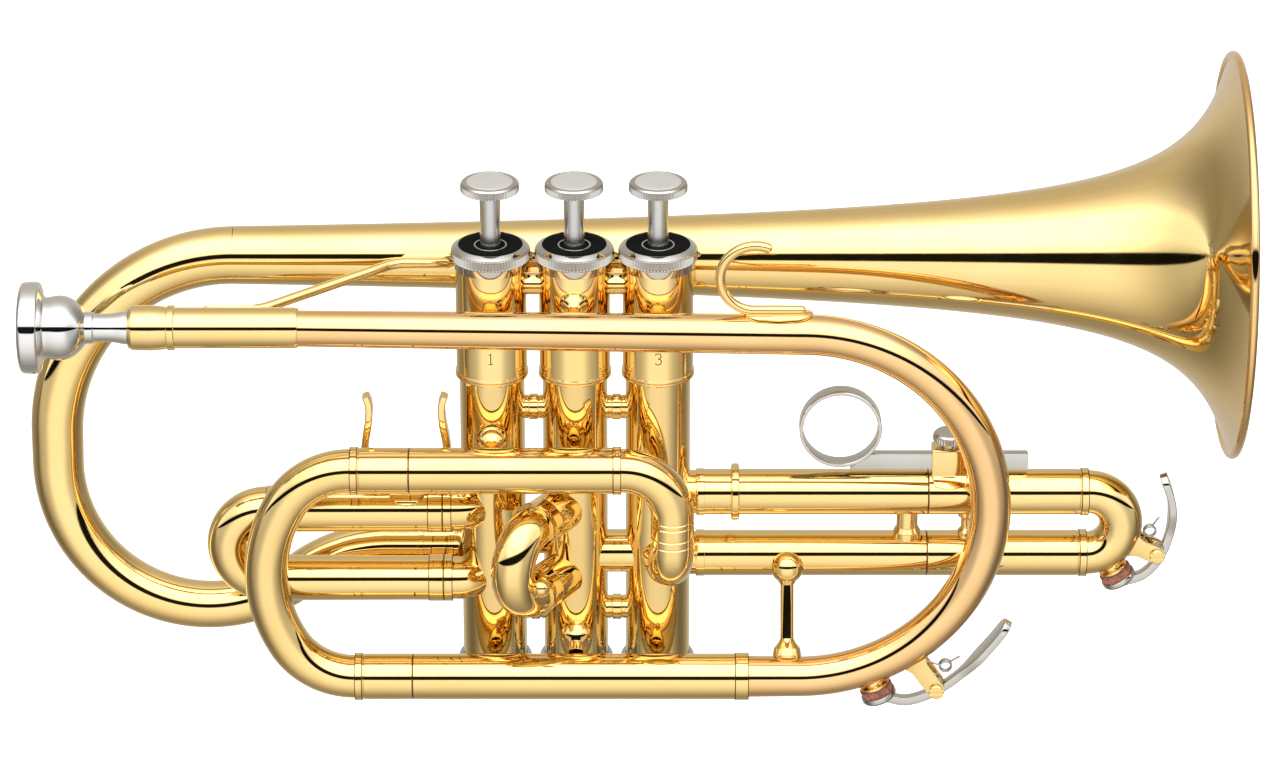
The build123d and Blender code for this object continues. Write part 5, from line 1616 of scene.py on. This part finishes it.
# ---- light, floor and camera ------------------------------------------------------------------------
def studio_world():
    """A soft studio: a broad light overhead, a bright table in front, and a narrow dark gap between."""
    world = bpy.data.worlds.new("studio")
    bpy.context.scene.world = world
    world.use_nodes = True
    tree = world.node_tree
    background = tree.nodes["Background"]
    place = tree.nodes.new("ShaderNodeTexCoord")
    split = tree.nodes.new("ShaderNodeSeparateXYZ")
    tree.links.new(place.outputs["Generated"], split.inputs["Vector"])

    def maths(operation, a, b=None):
        node = tree.nodes.new("ShaderNodeMath")
        node.operation = operation
        for i, value in enumerate((a, b)):
            if value is None:
                continue
            if isinstance(value, (int, float)):
                node.inputs[i].default_value = value
            else:
                tree.links.new(value, node.inputs[i])
        return node.outputs["Value"]

    front = maths("MULTIPLY", split.outputs["Y"], -1.0)
    angle = maths("ARCTAN2", split.outputs["Z"], front)
    share = maths("ADD", maths("DIVIDE", angle, 2 * pi), 0.5)
    bands = tree.nodes.new("ShaderNodeValToRGB")
    tree.links.new(share, bands.inputs["Fac"])
    stops = [
        (-180, 0.24), (-140, 0.20), (-110, 0.13), (-90, 0.12), (-70, 0.18), (-50, 0.29),
        (-30, 0.39), (-10, 0.45), (7.6, 0.46), (9.4, 0.004), (25.6, 0.004), (27.6, 0.55),
        (45, 0.85), (82, 0.90), (98, 0.50), (108, 0.38), (120, 0.28), (135, 0.23), (160, 0.21),
        (180, 0.24),
    ]
    ramp_node = bands.color_ramp
    while len(ramp_node.elements) > 1:
        ramp_node.elements.remove(ramp_node.elements[0])
    for i, (degrees, level) in enumerate(stops):
        position = degrees / 360 + 0.5
        element = ramp_node.elements[0] if i == 0 else ramp_node.elements.new(position)
        element.position = position
        warm = min(1.0, max(0.0, (0.5 - level) / 0.3))
        element.color = (level, level * (1 - 0.08 * warm), level * (1 - 0.20 * warm), 1)
    side = maths("ABSOLUTE", split.outputs["X"])
    fade = tree.nodes.new("ShaderNodeMapRange")
    fade.interpolation_type = "SMOOTHSTEP"
    fade.inputs["From Min"].default_value = 0.35
    fade.inputs["From Max"].default_value = 0.85
    fade.inputs["To Min"].default_value = 2.8
    fade.inputs["To Max"].default_value = 1.45
    tree.links.new(side, fade.inputs["Value"])
    tree.links.new(bands.outputs["Color"], background.inputs["Color"])
    tree.links.new(fade.outputs["Result"], background.inputs["Strength"])


def floor():
    """The plain pale surface far below the instrument."""
    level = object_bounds()[0][2] - 0.16
    bpy.ops.mesh.primitive_plane_add(size=12, location=(0, 1.5, level))
    plane = bpy.context.object
    plane.name = "pale_floor"
    material, tree, shader = new_material("pale_floor")
    pale = ramp(tree, noise(tree, 3.0), (0.93, 0.93, 0.93), (0.96, 0.96, 0.96))
    tree.links.new(pale, shader.inputs["Base Color"])
    shader.inputs["Roughness"].default_value = 0.9
    shader.inputs["Specular IOR Level"].default_value = 0.1
    shader.inputs["Emission Color"].default_value = (1, 1, 1, 1)
    shader.inputs["Emission Strength"].default_value = 0.35
    plane.data.materials.append(material)
    plane.visible_glossy = False


def camera():
    """The camera, above and in front of the instrument."""
    distance = 1.5
    rise = radians(24.5)
    target = Vector((0.01882, 0.0, 0.0237))
    data = bpy.data.cameras.new("camera")
    data.sensor_width = 36
    data.lens = 145.7
    data.clip_start = 0.1
    data.clip_end = 40
    eye = bpy.data.objects.new("camera", data)
    eye.location = target + distance * Vector((0, -cos(rise), sin(rise)))
    eye.rotation_euler = (radians(90) - rise, 0, 0)
    bpy.context.scene.collection.objects.link(eye)
    bpy.context.scene.camera = eye
    bpy.context.scene.view_settings.view_transform = "Standard"


SUBPARTS = [
    bell, rear_bow, receiver, leadpipe, tuning_slide, elbow, first_slide, thumb_saddle,
    second_slide, second_slide_bow, third_slide, casings, numerals, top_caps, stem_felts,
    bottom_caps, stems_and_buttons, between_casings, ferrules, parting_lines, braces, bell_brace,
    finger_hook, mouthpiece, finger_ring, ring_holder, ring_thumbscrew,
]

for build in SUBPARTS:
    build()
water_key("crook_key", CROOK_KEY)
water_key("slide_key", SLIDE_KEY)
valve_springs()
dress_cad()
floor()
camera()
studio_world()
